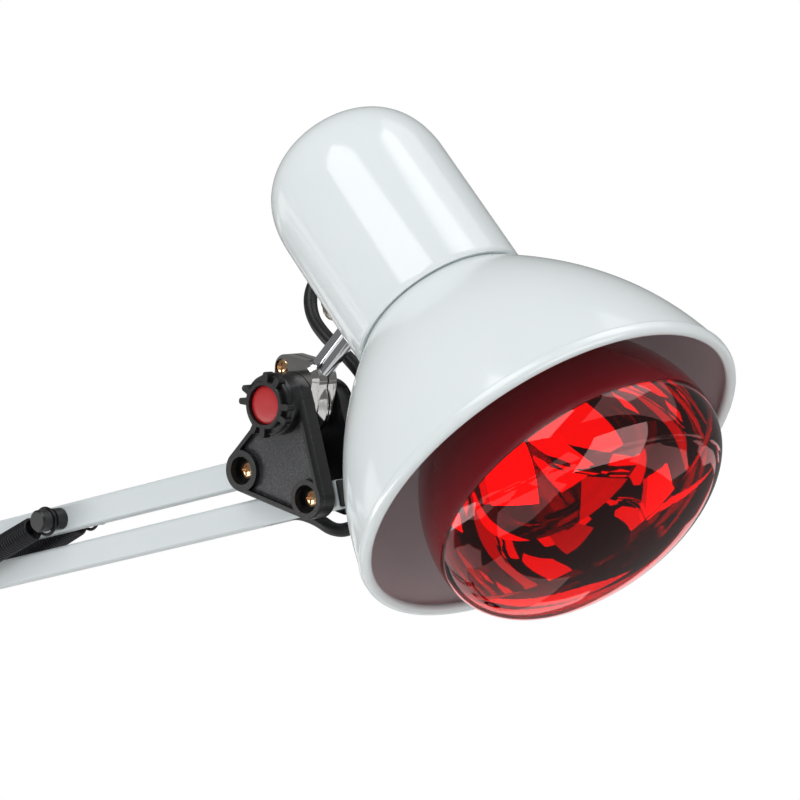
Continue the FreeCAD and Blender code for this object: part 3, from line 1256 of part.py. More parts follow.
failed = [item.Label for item in doc.Objects if "Invalid" in item.State or "Error" in item.State]
for name, item in NODES.items():
    if item.Shape.isNull() or not item.Shape.isValid():
        failed.append(name)
if failed:
    raise RuntimeError("not sound: " + ", ".join(failed))
for name, item in NODES.items():
    item.Shape.exportStep("parts/%s.step" % name)
print("%d sub-parts written" % len(NODES))
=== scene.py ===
"""Infrared heat lamp: its finishes, lamp bulb, springs, flexes, mains lead and a plain studio."""

import json
import logging
import math
from dataclasses import dataclass
from enum import Enum

import bmesh
import bpy
import numpy as np
from mathutils import Matrix, Vector


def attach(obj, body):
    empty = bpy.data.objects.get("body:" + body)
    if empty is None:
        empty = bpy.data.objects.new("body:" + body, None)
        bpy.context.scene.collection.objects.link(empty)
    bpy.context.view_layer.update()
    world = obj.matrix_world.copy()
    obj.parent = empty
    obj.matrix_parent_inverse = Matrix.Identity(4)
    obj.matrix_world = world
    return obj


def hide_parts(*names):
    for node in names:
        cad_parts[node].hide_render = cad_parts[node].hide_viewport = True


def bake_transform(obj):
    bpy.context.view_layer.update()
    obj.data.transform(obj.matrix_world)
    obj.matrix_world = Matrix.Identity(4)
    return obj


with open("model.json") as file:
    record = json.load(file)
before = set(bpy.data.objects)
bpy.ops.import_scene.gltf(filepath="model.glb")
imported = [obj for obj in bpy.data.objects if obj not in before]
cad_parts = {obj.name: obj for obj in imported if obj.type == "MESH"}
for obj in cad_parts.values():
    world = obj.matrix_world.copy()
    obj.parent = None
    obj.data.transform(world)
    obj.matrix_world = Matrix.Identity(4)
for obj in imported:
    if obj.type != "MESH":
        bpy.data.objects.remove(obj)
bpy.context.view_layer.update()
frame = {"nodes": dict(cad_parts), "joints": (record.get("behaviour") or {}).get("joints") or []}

logging.basicConfig(level=logging.INFO, format="%(name)s: %(message)s")
LOG = logging.getLogger("heat_lamp")

MM = 0.001
# Direction across the plane that the arms move in.
ACROSS = np.array([0.0, 1.0, 0.0])
# Middle of the clip that holds the flex on the clamp, and half its length, in millimetres.
CLIP, CLIP_HALF = np.array([24.0, 0.0, 11.4]), np.array([0.0, 9.0, 0.0])
Point = tuple[float, float, float]
Tree = bpy.types.NodeTree
Socket = bpy.types.NodeSocket
Piece = bpy.types.Object


# ---------------------------------------------------------------- colours and shader nodes
def linear(colour: str) -> tuple[float, float, float, float]:
    """Turns a colour as written for a screen into the linear values that shaders work in.

    Args:
        colour: sRGB value such as "#C0FFEE".

    Returns:
        Red, green, blue and alpha, linear, each from 0 to 1.
    """
    written = np.array([int(colour[at:at + 2], 16) for at in (1, 3, 5)]) / 255.0
    rgb = np.where(written <= 0.04045, written / 12.92, ((written + 0.055) / 1.055) ** 2.4)
    return (float(rgb[0]), float(rgb[1]), float(rgb[2]), 1.0)


def add(tree: Tree, kind: str, inputs: dict | None = None, **settings) -> bpy.types.Node:
    """Adds a node with its settings, plain values and links.

    Args:
        tree: The node tree that gets the node.
        kind: The node's type name.
        inputs: Socket name or number to a value, or to the output socket that feeds it.
        settings: Properties of the node itself.

    Returns:
        The new node.
    """
    node = tree.nodes.new(kind)
    for name, value in settings.items():
        setattr(node, name, value)
    for name, value in (inputs or {}).items():
        if isinstance(value, Socket):
            tree.links.new(value, node.inputs[name])
        else:
            node.inputs[name].default_value = value
    return node


def cleared_tree(owner: bpy.types.Material | bpy.types.World) -> Tree:
    """The owner's node tree, switched on and emptied."""
    owner.use_nodes = True
    owner.node_tree.nodes.clear()
    return owner.node_tree


def spots(tree: Tree, where: Socket, size_mm: float, detail: float) -> Socket:
    """Noise whose spots are that many millimetres wide."""
    noise = add(tree, "ShaderNodeTexNoise", {
        "Vector": where, "Scale": 1.0 / (size_mm * MM), "Detail": detail})
    return noise.outputs["Fac"]


def mixed(tree: Tree, factor: Socket, first, second, data_type: str = "RGBA") -> Socket:
    """What lies between two colours or, as FLOAT, two numbers."""
    mix = add(tree, "ShaderNodeMix", {"Factor": factor, "A": first, "B": second},
              data_type=data_type)
    return mix.outputs["Result"]


def computed(tree: Tree, operation: str, *values) -> Socket:
    """Result of a sum on numbers and sockets."""
    node = add(tree, "ShaderNodeMath", dict(enumerate(values)), operation=operation)
    return node.outputs["Value"]


def mirrored_or_through(tree: Tree, path: bpy.types.Node) -> Socket:
    """One for rays that gloss or glass sends on, and nought for the rest."""
    return computed(tree, "MAXIMUM", path.outputs["Is Glossy Ray"],
                    path.outputs["Is Transmission Ray"])


class Grain(Enum):
    """How a surface was made, which gives its relief."""

    SMOOTH = "smooth"
    ORANGE_PEEL = "sprayed and stoved, a soft ripple"
    SPARK = "moulded against an eroded tool, fine pits"
    CAST = "cast, a shallow wander"
    DRAWN = "drawn or rolled, long scratches"


@dataclass(frozen=True)
class Finish:
    """What every finish has: names, colours, shine and the relief of its making."""

    name: str
    slot: str
    colour: str
    drift_colour: str
    roughness: float
    metallic: float = 0.0
    ior: float = 1.5
    coat: float = 0.0
    grain: Grain = Grain.SMOOTH
    grain_mm: float = 1.0
    grain_depth_mm: float = 0.0
    drift_mm: float = 40.0
    uneven_shine: float = 0.04

    def drifted(self, tree: Tree, where: Socket) -> Socket:
        """Colour that wanders between the finish's two colours, over its drift in millimetres."""
        return mixed(tree, spots(tree, where, self.drift_mm, 3.0), linear(self.colour),
                     linear(self.drift_colour))

    def relief(self, tree: Tree, where: Socket) -> Socket | None:
        """Bump of the finish's grain, or nothing on a smooth one."""
        if self.grain is Grain.SMOOTH:
            return None
        vector = where
        if self.grain is Grain.DRAWN:
            stretched = add(tree, "ShaderNodeMapping", {"Vector": where, "Scale": (1.0, 0.04, 1.0)})
            vector = stretched.outputs["Vector"]
        detail = 1.0 if self.grain is Grain.ORANGE_PEEL else 4.0
        bump = add(tree, "ShaderNodeBump", {
            "Height": spots(tree, vector, self.grain_mm, detail), "Strength": 1.0,
            "Distance": self.grain_depth_mm * MM})
        return bump.outputs["Normal"]

    def shine(self, tree: Tree, where: Socket) -> Socket | None:
        """Roughness that varies a little, as handling and cleaning leave it."""
        spread = add(tree, "ShaderNodeMapRange", {
            "Value": spots(tree, where, self.drift_mm * 0.6, 4.0), "From Min": 0.3, "From Max": 0.7,
            "To Min": max(self.roughness - self.uneven_shine, 0.01),
            "To Max": self.roughness + self.uneven_shine})
        return spread.outputs["Result"]

    def dress(self, tree: Tree, shader: bpy.types.Node) -> None:
        """Links the patterns that the finish has to its shader."""
        where = add(tree, "ShaderNodeTexCoord").outputs["Object"]
        patterns = {"Base Color": self.drifted(tree, where), "Roughness": self.shine(tree, where),
                    "Normal": self.relief(tree, where)}
        for name, pattern in patterns.items():
            if pattern is not None:
                tree.links.new(pattern, shader.inputs[name])

    def material(self) -> bpy.types.Material:
        """The finish as a material, made once and used again after that."""
        made = bpy.data.materials.get(self.name)
        if made is not None:
            return made
        made = bpy.data.materials.new(self.name)
        tree = cleared_tree(made)
        shader = add(tree, "ShaderNodeBsdfPrincipled", {
            "Base Color": linear(self.colour), "Roughness": self.roughness,
            "Metallic": self.metallic, "IOR": self.ior, "Coat Weight": self.coat})
        add(tree, "ShaderNodeOutputMaterial", {"Surface": shader.outputs["BSDF"]})
        self.dress(tree, shader)
        return made


@dataclass(frozen=True)
class SpeckledMoulding(Finish):
    """Glass-filled nylon: smooth black ribs, and a sunk panel with a grey sparkle of fibre ends."""

    panel_depth_mm: float = 14.5
    panel_band_mm: float = 0.35
    fleck_mm: float = 0.4
    fleck_colour: str = "#57575B"
    panel_colour: str = "#232325"

    def drifted(self, tree: Tree, where: Socket) -> Socket:
        """Plain colour outside the sunk panel, and flecks where the depth is the panel's own."""
        plain = super().drifted(tree, where)
        split = add(tree, "ShaderNodeSeparateXYZ", {"Vector": where})
        depth = computed(tree, "ABSOLUTE", split.outputs["Y"])
        near = computed(tree, "COMPARE", depth, self.panel_depth_mm * MM, self.panel_band_mm * MM)
        sharp = add(tree, "ShaderNodeMapRange", {
            "Value": spots(tree, where, self.fleck_mm, 2.0), "From Min": 0.5, "From Max": 0.68})
        speckled = mixed(tree, sharp.outputs["Result"], linear(self.panel_colour),
                         linear(self.fleck_colour))
        return mixed(tree, near, plain, speckled)


@dataclass(frozen=True)
class ClearGlass(Finish):
    """Blown glass that light goes through, coloured in the melt."""

    def shine(self, tree: Tree, where: Socket) -> None:
        """No pattern: blown glass is evenly smooth."""

    def dress(self, tree: Tree, shader: bpy.types.Node) -> None:
        """Makes the glass clear and leaves a faint unevenness of blowing on it."""
        shader.inputs["Transmission Weight"].default_value = 1.0
        super().dress(tree, shader)


# Stoved enamel on spun steel: a blue-white skin, glossy, with the faint ripple of spraying.
ENAMEL = Finish("stoved_enamel", "enamel", "#DFE6E8", "#E5EBEC", 0.14, coat=0.3,
                grain=Grain.ORANGE_PEEL, grain_mm=5.0, grain_depth_mm=0.012, uneven_shine=0.03)
# Heat-proof enamel inside the shade, flatter than the outside; its pink tint is painted red light
# thrown back by the lamp, on enamel as white as the outside.
SHADE_INSIDE_PAINTED_GLOW = Finish("shade_inside_painted_glow", "enamel_inside", "#E6DADC", "#DCD0D4", 0.36,
                      grain=Grain.ORANGE_PEEL, grain_mm=2.0, grain_depth_mm=0.02)
# Powder-coated square tube: satin, the same blue-white.
ARM_PAINT = Finish("arm_powder_coat", "arm_paint", "#CDD5D8", "#D3D9DB", 0.33,
                   grain=Grain.ORANGE_PEEL, grain_mm=1.2, grain_depth_mm=0.004)
# Powder-coated casting: the sand's shallow wander shows through the paint.
CAST_PAINT = Finish("clamp_powder_coat", "cast_paint", "#D3DADC", "#C9D1D4", 0.42,
                    grain=Grain.CAST, grain_mm=1.6, grain_depth_mm=0.08)
# Selenium ruby glass: clear and saturated, with a gloss like water.
RUBY = ClearGlass("selenium_ruby", "ruby_glass", "#FF0B12", "#FB060C", 0.0, ior=1.47,
                  grain=Grain.CAST, grain_mm=30.0, grain_depth_mm=0.02)
# Vacuum silvering inside the lamp: a mirror with the glass's slight waves.
SILVERING = Finish("vacuum_silvering", "tungsten", "#F4F4F4", "#EDEDEE", 0.03, metallic=1.0,
                   grain=Grain.CAST, grain_mm=34.0, grain_depth_mm=0.07, uneven_shine=0.015)
# Heat-proof lacquer on the lamp's back: deep red, satin.
RED_LACQUER = Finish("red_lacquer", "reflector_glass", "#84101C", "#6A0C16", 0.24, coat=0.4,
                     grain=Grain.ORANGE_PEEL, grain_mm=1.5, grain_depth_mm=0.01)
BRASS_CAP = Finish("lamp_cap_brass", "lamp_cap", "#C9BC93", "#B7A777", 0.28, metallic=1.0,
                   grain=Grain.DRAWN, grain_mm=0.6, grain_depth_mm=0.01)
PORCELAIN = Finish("glazed_porcelain", "ceramic", "#E9E6DD", "#E2DED2", 0.22, coat=0.4)
TUNGSTEN = Finish("tungsten_wire", "tungsten", "#4A4747", "#3A3737", 0.35, metallic=1.0)
# Bright chrome plate on turned rod: near mirror, a breath of turning lines.
CHROME = Finish("bright_chrome", "chrome", "#E4E6EA", "#DADDE2", 0.05, metallic=1.0,
                grain=Grain.DRAWN, grain_mm=0.4, grain_depth_mm=0.0015, uneven_shine=0.02)
# Plated zinc die casting: bright, its skin not quite flat.
DIE_CAST = Finish("plated_die_cast", "die_cast", "#D0CFCD", "#BFBDBC", 0.09, metallic=1.0,
                  grain=Grain.CAST, grain_mm=6.0, grain_depth_mm=0.1, uneven_shine=0.04)
# Yellow-passivated zinc: gold that drifts to pink within a few millimetres.
GOLD_ZINC = Finish("yellow_zinc", "brass_plate", "#EBD29A", "#DDA48C", 0.1, metallic=1.0,
                   grain=Grain.CAST, grain_mm=1.2, grain_depth_mm=0.03, drift_mm=3.5)
STEEL = Finish("bright_zinc", "steel", "#B4B7BA", "#9EA1A6", 0.27, metallic=1.0,
               grain=Grain.DRAWN, grain_mm=0.5, grain_depth_mm=0.006)
# Glass-filled nylon of the plates.
MOULDING = SpeckledMoulding("glass_filled_nylon", "black_moulding", "#151516", "#101011", 0.3,
                            grain=Grain.SPARK, grain_mm=0.7, grain_depth_mm=0.05)
# The same nylon without a speckled panel, on knob, pegs and yoke.
PLAIN_MOULDING = Finish("moulded_nylon", "black_moulding", "#1A1A1C", "#141416", 0.32,
                        grain=Grain.SPARK, grain_mm=0.6, grain_depth_mm=0.02)
RED_CAP = Finish("red_styrene", "red_cap", "#BE2226", "#A81A20", 0.38,
                 grain=Grain.SPARK, grain_mm=0.4, grain_depth_mm=0.008)
# Oil-blacked spring wire: dark, with a narrow shine along each turn.
SPRING_WIRE = Finish("blacked_spring_wire", "black_spring", "#1A1A1C", "#26262A", 0.33,
                     metallic=0.5, grain=Grain.DRAWN, grain_mm=0.5, grain_depth_mm=0.004)
BUSH = Finish("acetal_bush", "bush_plastic", "#DCDCD8", "#D2D2CD", 0.4,
              grain=Grain.SPARK, grain_mm=0.5, grain_depth_mm=0.006)
RUBBER = Finish("pad_rubber", "pad_rubber", "#161617", "#202021", 0.7,
                grain=Grain.SPARK, grain_mm=0.8, grain_depth_mm=0.05)
# Soft vinyl sheath of the flex: black, a dull sheen.
SHEATH = Finish("vinyl_sheath", "flex_sheath", "#101011", "#161617", 0.42,
                grain=Grain.ORANGE_PEEL, grain_mm=1.0, grain_depth_mm=0.015, drift_mm=20.0)
SWITCH_ABS = Finish("switch_abs", "switch_plastic", "#1C1C1D", "#242426", 0.4,
                    grain=Grain.SPARK, grain_mm=0.5, grain_depth_mm=0.02)
PLUG_VINYL = Finish("plug_vinyl", "plug_rubber", "#19191A", "#222224", 0.46,
                    grain=Grain.SPARK, grain_mm=0.5, grain_depth_mm=0.015)
NICKEL = Finish("nickel_plate", "pin_metal", "#C9C2B0", "#BDB6A6", 0.2, metallic=1.0,
                grain=Grain.DRAWN, grain_mm=0.4, grain_depth_mm=0.004)

NODES_OF_FINISH: tuple[tuple[Finish, str], ...] = (
    (ENAMEL, "shade neck_cap"), (PORCELAIN, "lampholder"), (BRASS_CAP, "bulb_cap"),
    (RED_LACQUER, "bulb_reflector"), (RUBY, "bulb_lens"), (TUNGSTEN, "bulb_filament"),
    (PLAIN_MOULDING, "cord_gland knob forearm_pegs elbow_pegs lower_arm_pegs turret_yoke"
                     " turret_pegs cord_clip"),
    (NICKEL, "neck_screw plug_pins"), (CHROME, "stem_rod"), (RED_CAP, "knob_cap"),
    (STEEL, "stem_nut tilt_bolt spigot clamp_foot clamp_screw tommy_bar"),
    (DIE_CAST, "jaw_front jaw_rear"), (CAST_PAINT, "clamp_frame"), (BUSH, "socket_bush"),
    (GOLD_ZINC, "jaw_screw bracket_screws elbow_screws turret_screws"),
    (MOULDING, "bracket_front bracket_rear elbow_front elbow_rear"),
    (ARM_PAINT, "forearm_upper_bar forearm_lower_bar lower_front_bar lower_rear_bar"),
    (RUBBER, "clamp_top_pad clamp_foot_pad"), (SWITCH_ABS, "switch_housing switch_rocker"),
    (PLUG_VINYL, "plug_body"), (SPRING_WIRE, "forearm_springs lower_arm_springs"),
    (SHEATH, "neck_flex knuckle_flex bracket_flex forearm_flex elbow_flex_upper"
             " elbow_flex_lower lower_arm_flex base_flex_upper base_flex_lower mains_lead"
             " lead_coil"),
)
FINISH_OF_NODE = {node: finish for finish, nodes in NODES_OF_FINISH for node in nodes.split()}


# ---------------------------------------------------------------- surfaces
@dataclass
class Surface:
    """Vertices and faces of a piece, in metres, as arrays."""

    vertices: np.ndarray
    faces: np.ndarray

    def joined(self, other: "Surface") -> "Surface":
        """Both surfaces as one."""
        return Surface(np.vstack([self.vertices, other.vertices]),
                       np.vstack([self.faces, other.faces + len(self.vertices)]))


def grid_faces(rows: int, columns: int, close_rows: bool) -> np.ndarray:
    """Quads between neighbours on a grid whose rows are rings.

    Args:
        rows: Number of rows of points.
        columns: Number of points in each row; the last meets the first.
        close_rows: Whether the last row meets the first.

    Returns:
        One row of four point numbers for each quad.
    """
    number = np.arange(rows * columns).reshape(rows, columns)
    if close_rows:
        number = np.vstack([number, number[:1]])
    number = np.hstack([number, number[:, :1]])
    corners = (number[:-1, :-1], number[1:, :-1], number[1:, 1:], number[:-1, 1:])
    return np.stack([corner.ravel() for corner in corners], axis=1)


def turned(profile: np.ndarray, place: Matrix, segments: int) -> Surface:
    """Surface of revolution: a profile point (r, z) at the angle t lies at (r cos t, r sin t, z).

    Args:
        profile: Points (r, z) in millimetres; the last meets the first.
        place: Where the axis stands, in metres.
        segments: Steps round the axis.

    Returns:
        The surface in the row frame.
    """
    angle = np.linspace(0.0, 2.0 * np.pi, segments, endpoint=False)
    radius, height = profile[:, :1] * MM, profile[:, 1:] * MM
    points = np.stack([radius * np.cos(angle), radius * np.sin(angle),
                       np.broadcast_to(height, (len(profile), segments))], axis=-1)
    turn = np.array(place)
    vertices = points.reshape(-1, 3) @ turn[:3, :3].T + turn[:3, 3]
    return Surface(vertices, grid_faces(len(profile), segments, True))


def bezier(start: Point, first: Point, second: Point, end: Point, steps: int = 24) -> np.ndarray:
    """Cubic curve: the points weighted by the four Bernstein terms, its start left out."""
    share = np.linspace(0.0, 1.0, steps + 1)[1:, None]
    rest = 1.0 - share
    corners = [np.array(point, float) for point in (start, first, second, end)]
    return (rest ** 3 * corners[0] + 3.0 * rest ** 2 * share * corners[1]
            + 3.0 * rest * share ** 2 * corners[2] + share ** 3 * corners[3])


def profile_of(*parts) -> np.ndarray:
    """One array of profile points from single points and curves."""
    return np.vstack([np.atleast_2d(np.array(part, float)) for part in parts])


def swept(path: np.ndarray, radius: float, reference: np.ndarray, sides: int = 10) -> Surface:
    """Round wire along a path: at each point a circle in the plane across the path.

    The circle's first direction is the reference's part across the path, and its second is at a
    right angle to both.

    Args:
        path: Points in millimetres.
        radius: Of the wire, in millimetres.
        reference: A direction that the path never takes.
        sides: Points round the wire.

    Returns:
        The wire with closed ends.
    """
    along = np.gradient(path, axis=0)
    along /= np.linalg.norm(along, axis=1, keepdims=True)
    first = reference - (along @ reference)[:, None] * along
    first /= np.linalg.norm(first, axis=1, keepdims=True)
    second = np.cross(along, first)
    angle = np.linspace(0.0, 2.0 * np.pi, sides, endpoint=False)
    ring = (np.cos(angle)[:, None] * first[:, None, :]
            + np.sin(angle)[:, None] * second[:, None, :])
    rings = path[:, None, :] + ring * radius
    rings = np.concatenate([np.repeat(path[:1, None], sides, axis=1), rings,
                            np.repeat(path[-1:, None], sides, axis=1)])
    return Surface(rings.reshape(-1, 3) * MM, grid_faces(len(path) + 2, sides, False))


def placed(name: str, data: bpy.types.ID) -> Piece:
    """A new object for the data, linked into the scene."""
    made = bpy.data.objects.new(name, data)
    bpy.context.scene.collection.objects.link(made)
    return made


def finished(name: str, mesh: bpy.types.Mesh, finish: Finish, sharp_degrees: float) -> Piece:
    """Cleans a mesh, shades it, dresses it and makes it a piece.

    Args:
        name: The piece's name.
        mesh: What it is made of, in metres.
        finish: What it is dressed in.
        sharp_degrees: Edges that turn more than this stay crisp.

    Returns:
        The object, at the origin.
    """
    tidy_mesh(mesh)
    mesh.polygons.foreach_set("use_smooth", np.ones(len(mesh.polygons), bool))
    mesh.set_sharp_from_angle(angle=math.radians(sharp_degrees))
    mesh.materials.clear()
    mesh.materials.append(finish.material())
    piece = placed(name, mesh)
    return piece


def make_piece(name: str, surface: Surface, finish: Finish, sharp_degrees: float = 40.0) -> Piece:
    """Makes a finished piece of a surface."""
    mesh = bpy.data.meshes.new(name)
    mesh.from_pydata(surface.vertices.tolist(), [], surface.faces.tolist())
    return finished(name, mesh, finish, sharp_degrees)


def paint_inner_wall(piece: Piece, place: Matrix, finish: Finish, limit: float = math.inf) -> None:
    """Gives the faces of a turned piece that look at its axis a finish of their own.

    Args:
        piece: The turned piece.
        place: Where its axis stands, in metres.
        finish: What the inner wall is dressed in.
        limit: Height along the axis, in metres, up to which faces count.
    """
    mesh = piece.data
    mesh.materials.append(finish.material())
    centres, normals = np.empty(len(mesh.polygons) * 3), np.empty(len(mesh.polygons) * 3)
    mesh.polygons.foreach_get("center", centres)
    mesh.polygons.foreach_get("normal", normals)
    turn = np.array(place.inverted())
    local = centres.reshape(-1, 3) @ turn[:3, :3].T + turn[:3, 3]
    facing = normals.reshape(-1, 3) @ turn[:3, :3].T
    inner = (np.sum(local[:, :2] * facing[:, :2], axis=1) < 0.0) & (local[:, 2] < limit)
    mesh.polygons.foreach_set("material_index", inner.astype(np.int32))


def tidy_mesh(mesh: bpy.types.Mesh) -> None:
    """Merges doubled points, drops faces without area and turns the rest outwards."""
    work = bmesh.new()
    work.from_mesh(mesh)
    bmesh.ops.remove_doubles(work, verts=work.verts, dist=1e-6)
    bmesh.ops.dissolve_degenerate(work, edges=work.edges, dist=1e-7)
    bmesh.ops.recalc_face_normals(work, faces=work.faces)
    work.to_mesh(mesh)
    work.free()


# ---------------------------------------------------------------- places read from the frame
JOINTS = {joint["name"]: joint for joint in frame["joints"]}


def joint_point(name: str) -> np.ndarray:
    """A joint's place in millimetres."""
    return np.array(JOINTS[name]["pos_m"]) / MM


def unit(vector: np.ndarray) -> np.ndarray:
    """The same direction at length one."""
    return vector / np.linalg.norm(vector)


@dataclass
class HeadPlace:
    """Where the head stands: the stem's axis is its joint's, the opening's has two angles."""

    tilt_degrees: float = 44.39
    swivel_degrees: float = -5.23
    stem_reach: float = 86.65
    stem_back: float = 120.67
    lamp_lean: Point = (-4.19, 2.5, 144.75)
    lamp_foot: float = -134.0

    def matrix(self) -> Matrix:
        """Frame of the head: Z out of the opening, X away from the knuckle, origin in the rim."""
        stem = unit(np.array(JOINTS["head_swivel"]["axis"]))
        tilt, swivel = math.radians(self.tilt_degrees), math.radians(self.swivel_degrees)
        opening = np.array([math.cos(tilt) * math.cos(swivel), math.sin(swivel),
                            -math.sin(tilt) * math.cos(swivel)])
        rim = joint_point("head_swivel") + stem * self.stem_reach + opening * self.stem_back
        return axes_matrix(rim, -stem, opening)

    def lamp_matrix(self) -> Matrix:
        """Frame of the lamp, which leans about its cap in the holder."""
        lean = Vector((0.0, 0.0, 1.0)).rotation_difference(Vector(self.lamp_lean).normalized())
        foot = Matrix.Translation((0.0, 0.0, self.lamp_foot * MM))
        return self.matrix() @ foot @ lean.to_matrix().to_4x4() @ foot.inverted()


def axes_matrix(origin: np.ndarray, x_axis: np.ndarray, z_axis: np.ndarray) -> Matrix:
    """Matrix of a frame from its origin in millimetres, and two of its axes."""
    y_axis = np.cross(z_axis, x_axis)
    table = np.eye(4)
    table[:3, 0], table[:3, 1], table[:3, 2], table[:3, 3] = x_axis, y_axis, z_axis, origin * MM
    return Matrix(table.tolist())


def rounded_block(name: str, place: Matrix, size: np.ndarray, bevel: float,
                  dress: bpy.types.Material) -> Piece:
    """Box with rounded edges: a corner lies at plus or minus half the size on each axis.

    Args:
        name: Of the piece.
        place: Frame of the box's middle.
        size: Along the frame's axes, in metres.
        bevel: Width of the rounding, in metres.
        dress: Material of all faces.

    Returns:
        The piece, with its place in its mesh.
    """
    signs = np.array([[x, y, z] for x in (-0.5, 0.5) for y in (-0.5, 0.5) for z in (-0.5, 0.5)])
    table = np.array(place)
    corners = (signs * size) @ table[:3, :3].T + table[:3, 3]
    faces = [(0, 1, 3, 2), (4, 6, 7, 5), (0, 4, 5, 1), (2, 3, 7, 6), (0, 2, 6, 4), (1, 5, 7, 3)]
    mesh = bpy.data.meshes.new(name)
    mesh.from_pydata(corners.tolist(), [], faces)
    mesh.materials.append(dress)
    piece = placed(name, mesh)
    rounding = piece.modifiers.new("rounded edges", "BEVEL")
    rounding.width, rounding.segments = bevel, 4
    return piece


# ---------------------------------------------------------------- head
@dataclass
class Shade:
    """Spun bell with a rolled rim. Sizes in millimetres from the rim's plane, back is negative."""

    rim_radius: float = 85.1
    rim_bead: float = 2.35
    wall: float = 1.2
    collar_radius: float = 37.9
    collar_back: float = -94.0
    shoulder_back: float = -86.3
    outer_handles: tuple = ((68.0, -56.1), (79.3, -30.0))
    inner_handles: tuple = ((78.2, -30.4), (66.9, -56.6))
    inside_from: float = -2.2
    segments: int = 256

    def profile(self) -> np.ndarray:
        """Collar, outer curve, the bead in three bends and the inner curve back to the collar."""
        rim, bead, wall = self.rim_radius, self.rim_bead, self.wall
        outer_end = (rim - 0.3 * bead, -2.0 * bead)
        widest, front = (rim, -bead), (rim - bead, 0.0)
        inside, inner_start = (rim - 2.0 * bead, -bead), (rim - 0.3 * bead - wall, -2.4 * bead)
        collar = (self.collar_radius, self.shoulder_back)
        inner_collar = (self.collar_radius - wall, self.shoulder_back - 0.6)
        return profile_of(
            (self.collar_radius - wall, self.collar_back),
            (self.collar_radius, self.collar_back), collar,
            bezier(collar, *self.outer_handles, outer_end, 72),
            bezier(outer_end, (rim + 0.1, -2.0 * bead), (rim, -1.5 * bead), widest, 6),
            bezier(widest, (rim, -0.4 * bead), (rim - 0.4 * bead, 0.0), front, 8),
            bezier(front, (rim - 1.6 * bead, 0.0), (rim - 2.0 * bead, -0.4 * bead), inside, 8),
            bezier(inside, (rim - 2.0 * bead, -1.6 * bead), (rim - 1.2 * bead, -1.8 * bead),
                   inner_start, 6),
            bezier(inner_start, *self.inner_handles, inner_collar, 72))

    def build(self, place: Matrix) -> list[Piece]:
        """Makes the shell; its inner wall, behind the bead, has the inside finish, whose pink tint
        is painted red glow.
        """
        piece = make_piece("shade_shell", turned(self.profile(), place, self.segments), ENAMEL)
        # The inner wall's pink tint is painted red light from the lamp; the enamel itself is white.
        paint_inner_wall(piece, place, SHADE_INSIDE_PAINTED_GLOW, self.inside_from * self.rim_bead * MM)
        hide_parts("shade")
        return [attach(piece, "head")]


@dataclass
class LampBulb:
    """Reflector lamp: ruby front, silvered and lacquered back. Millimetres from the rim's plane."""

    radius: float = 62.5
    seam: float = 10.75
    crown: float = 33.4
    fullness: float = 0.65
    glass: float = 1.2
    neck_radius: float = 19.0
    neck_back: float = -107.0
    neck_front: float = -72.0
    cap_radius: float = 13.2
    bowl_handle: float = 42.0
    throat_handle: float = 22.0
    taper: float = 9.0
    taper_handle: float = 4.0
    segments: int = 224

    def front_profile(self) -> np.ndarray:
        """Outer and inner curve of the domed front."""
        full, top = self.fullness, self.seam + self.crown
        seam, outer = self.seam, self.radius
        inner, under = outer - self.glass, top - self.glass
        return profile_of(
            (outer, seam),
            bezier((outer, seam), (outer, seam + self.crown * full), (outer * full, top),
                   (0.0, top), 56),
            (0.0, under),
            bezier((0.0, under), (inner * full, under),
                   (inner, seam + (self.crown - self.glass) * full), (inner, seam), 56))

    def back_curve(self, inset: float) -> np.ndarray:
        """Bowl and neck of the back, from seam to cap, moved inwards by the inset."""
        outer, neck = self.radius - inset, self.neck_radius - inset
        return profile_of(
            (outer, self.seam),
            bezier((outer, self.seam), (outer, self.seam - self.bowl_handle + inset),
                   (neck + 1.0, self.neck_front + self.throat_handle + inset),
                   (neck, self.neck_front), 64),
            (neck, self.neck_back + self.taper),
            bezier((neck, self.neck_back + self.taper), (neck, self.neck_back + self.taper_handle),
                   (self.cap_radius + 1.0 - inset, self.neck_back + self.taper_handle),
                   (self.cap_radius - inset, self.neck_back), 8))

    def build(self, place: Matrix) -> list[Piece]:
        """Makes the front, and the back with its silvering on the inner wall."""
        front = make_piece("ruby_front", turned(self.front_profile(), place, self.segments), RUBY)
        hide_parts("bulb_lens")
        profile = profile_of(self.back_curve(0.0), self.back_curve(self.glass)[::-1])
        back = make_piece("lamp_back", turned(profile, place, self.segments), RED_LACQUER)
        paint_inner_wall(back, place, SILVERING)
        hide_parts("bulb_reflector")
        return [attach(front, "head"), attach(back, "head")]


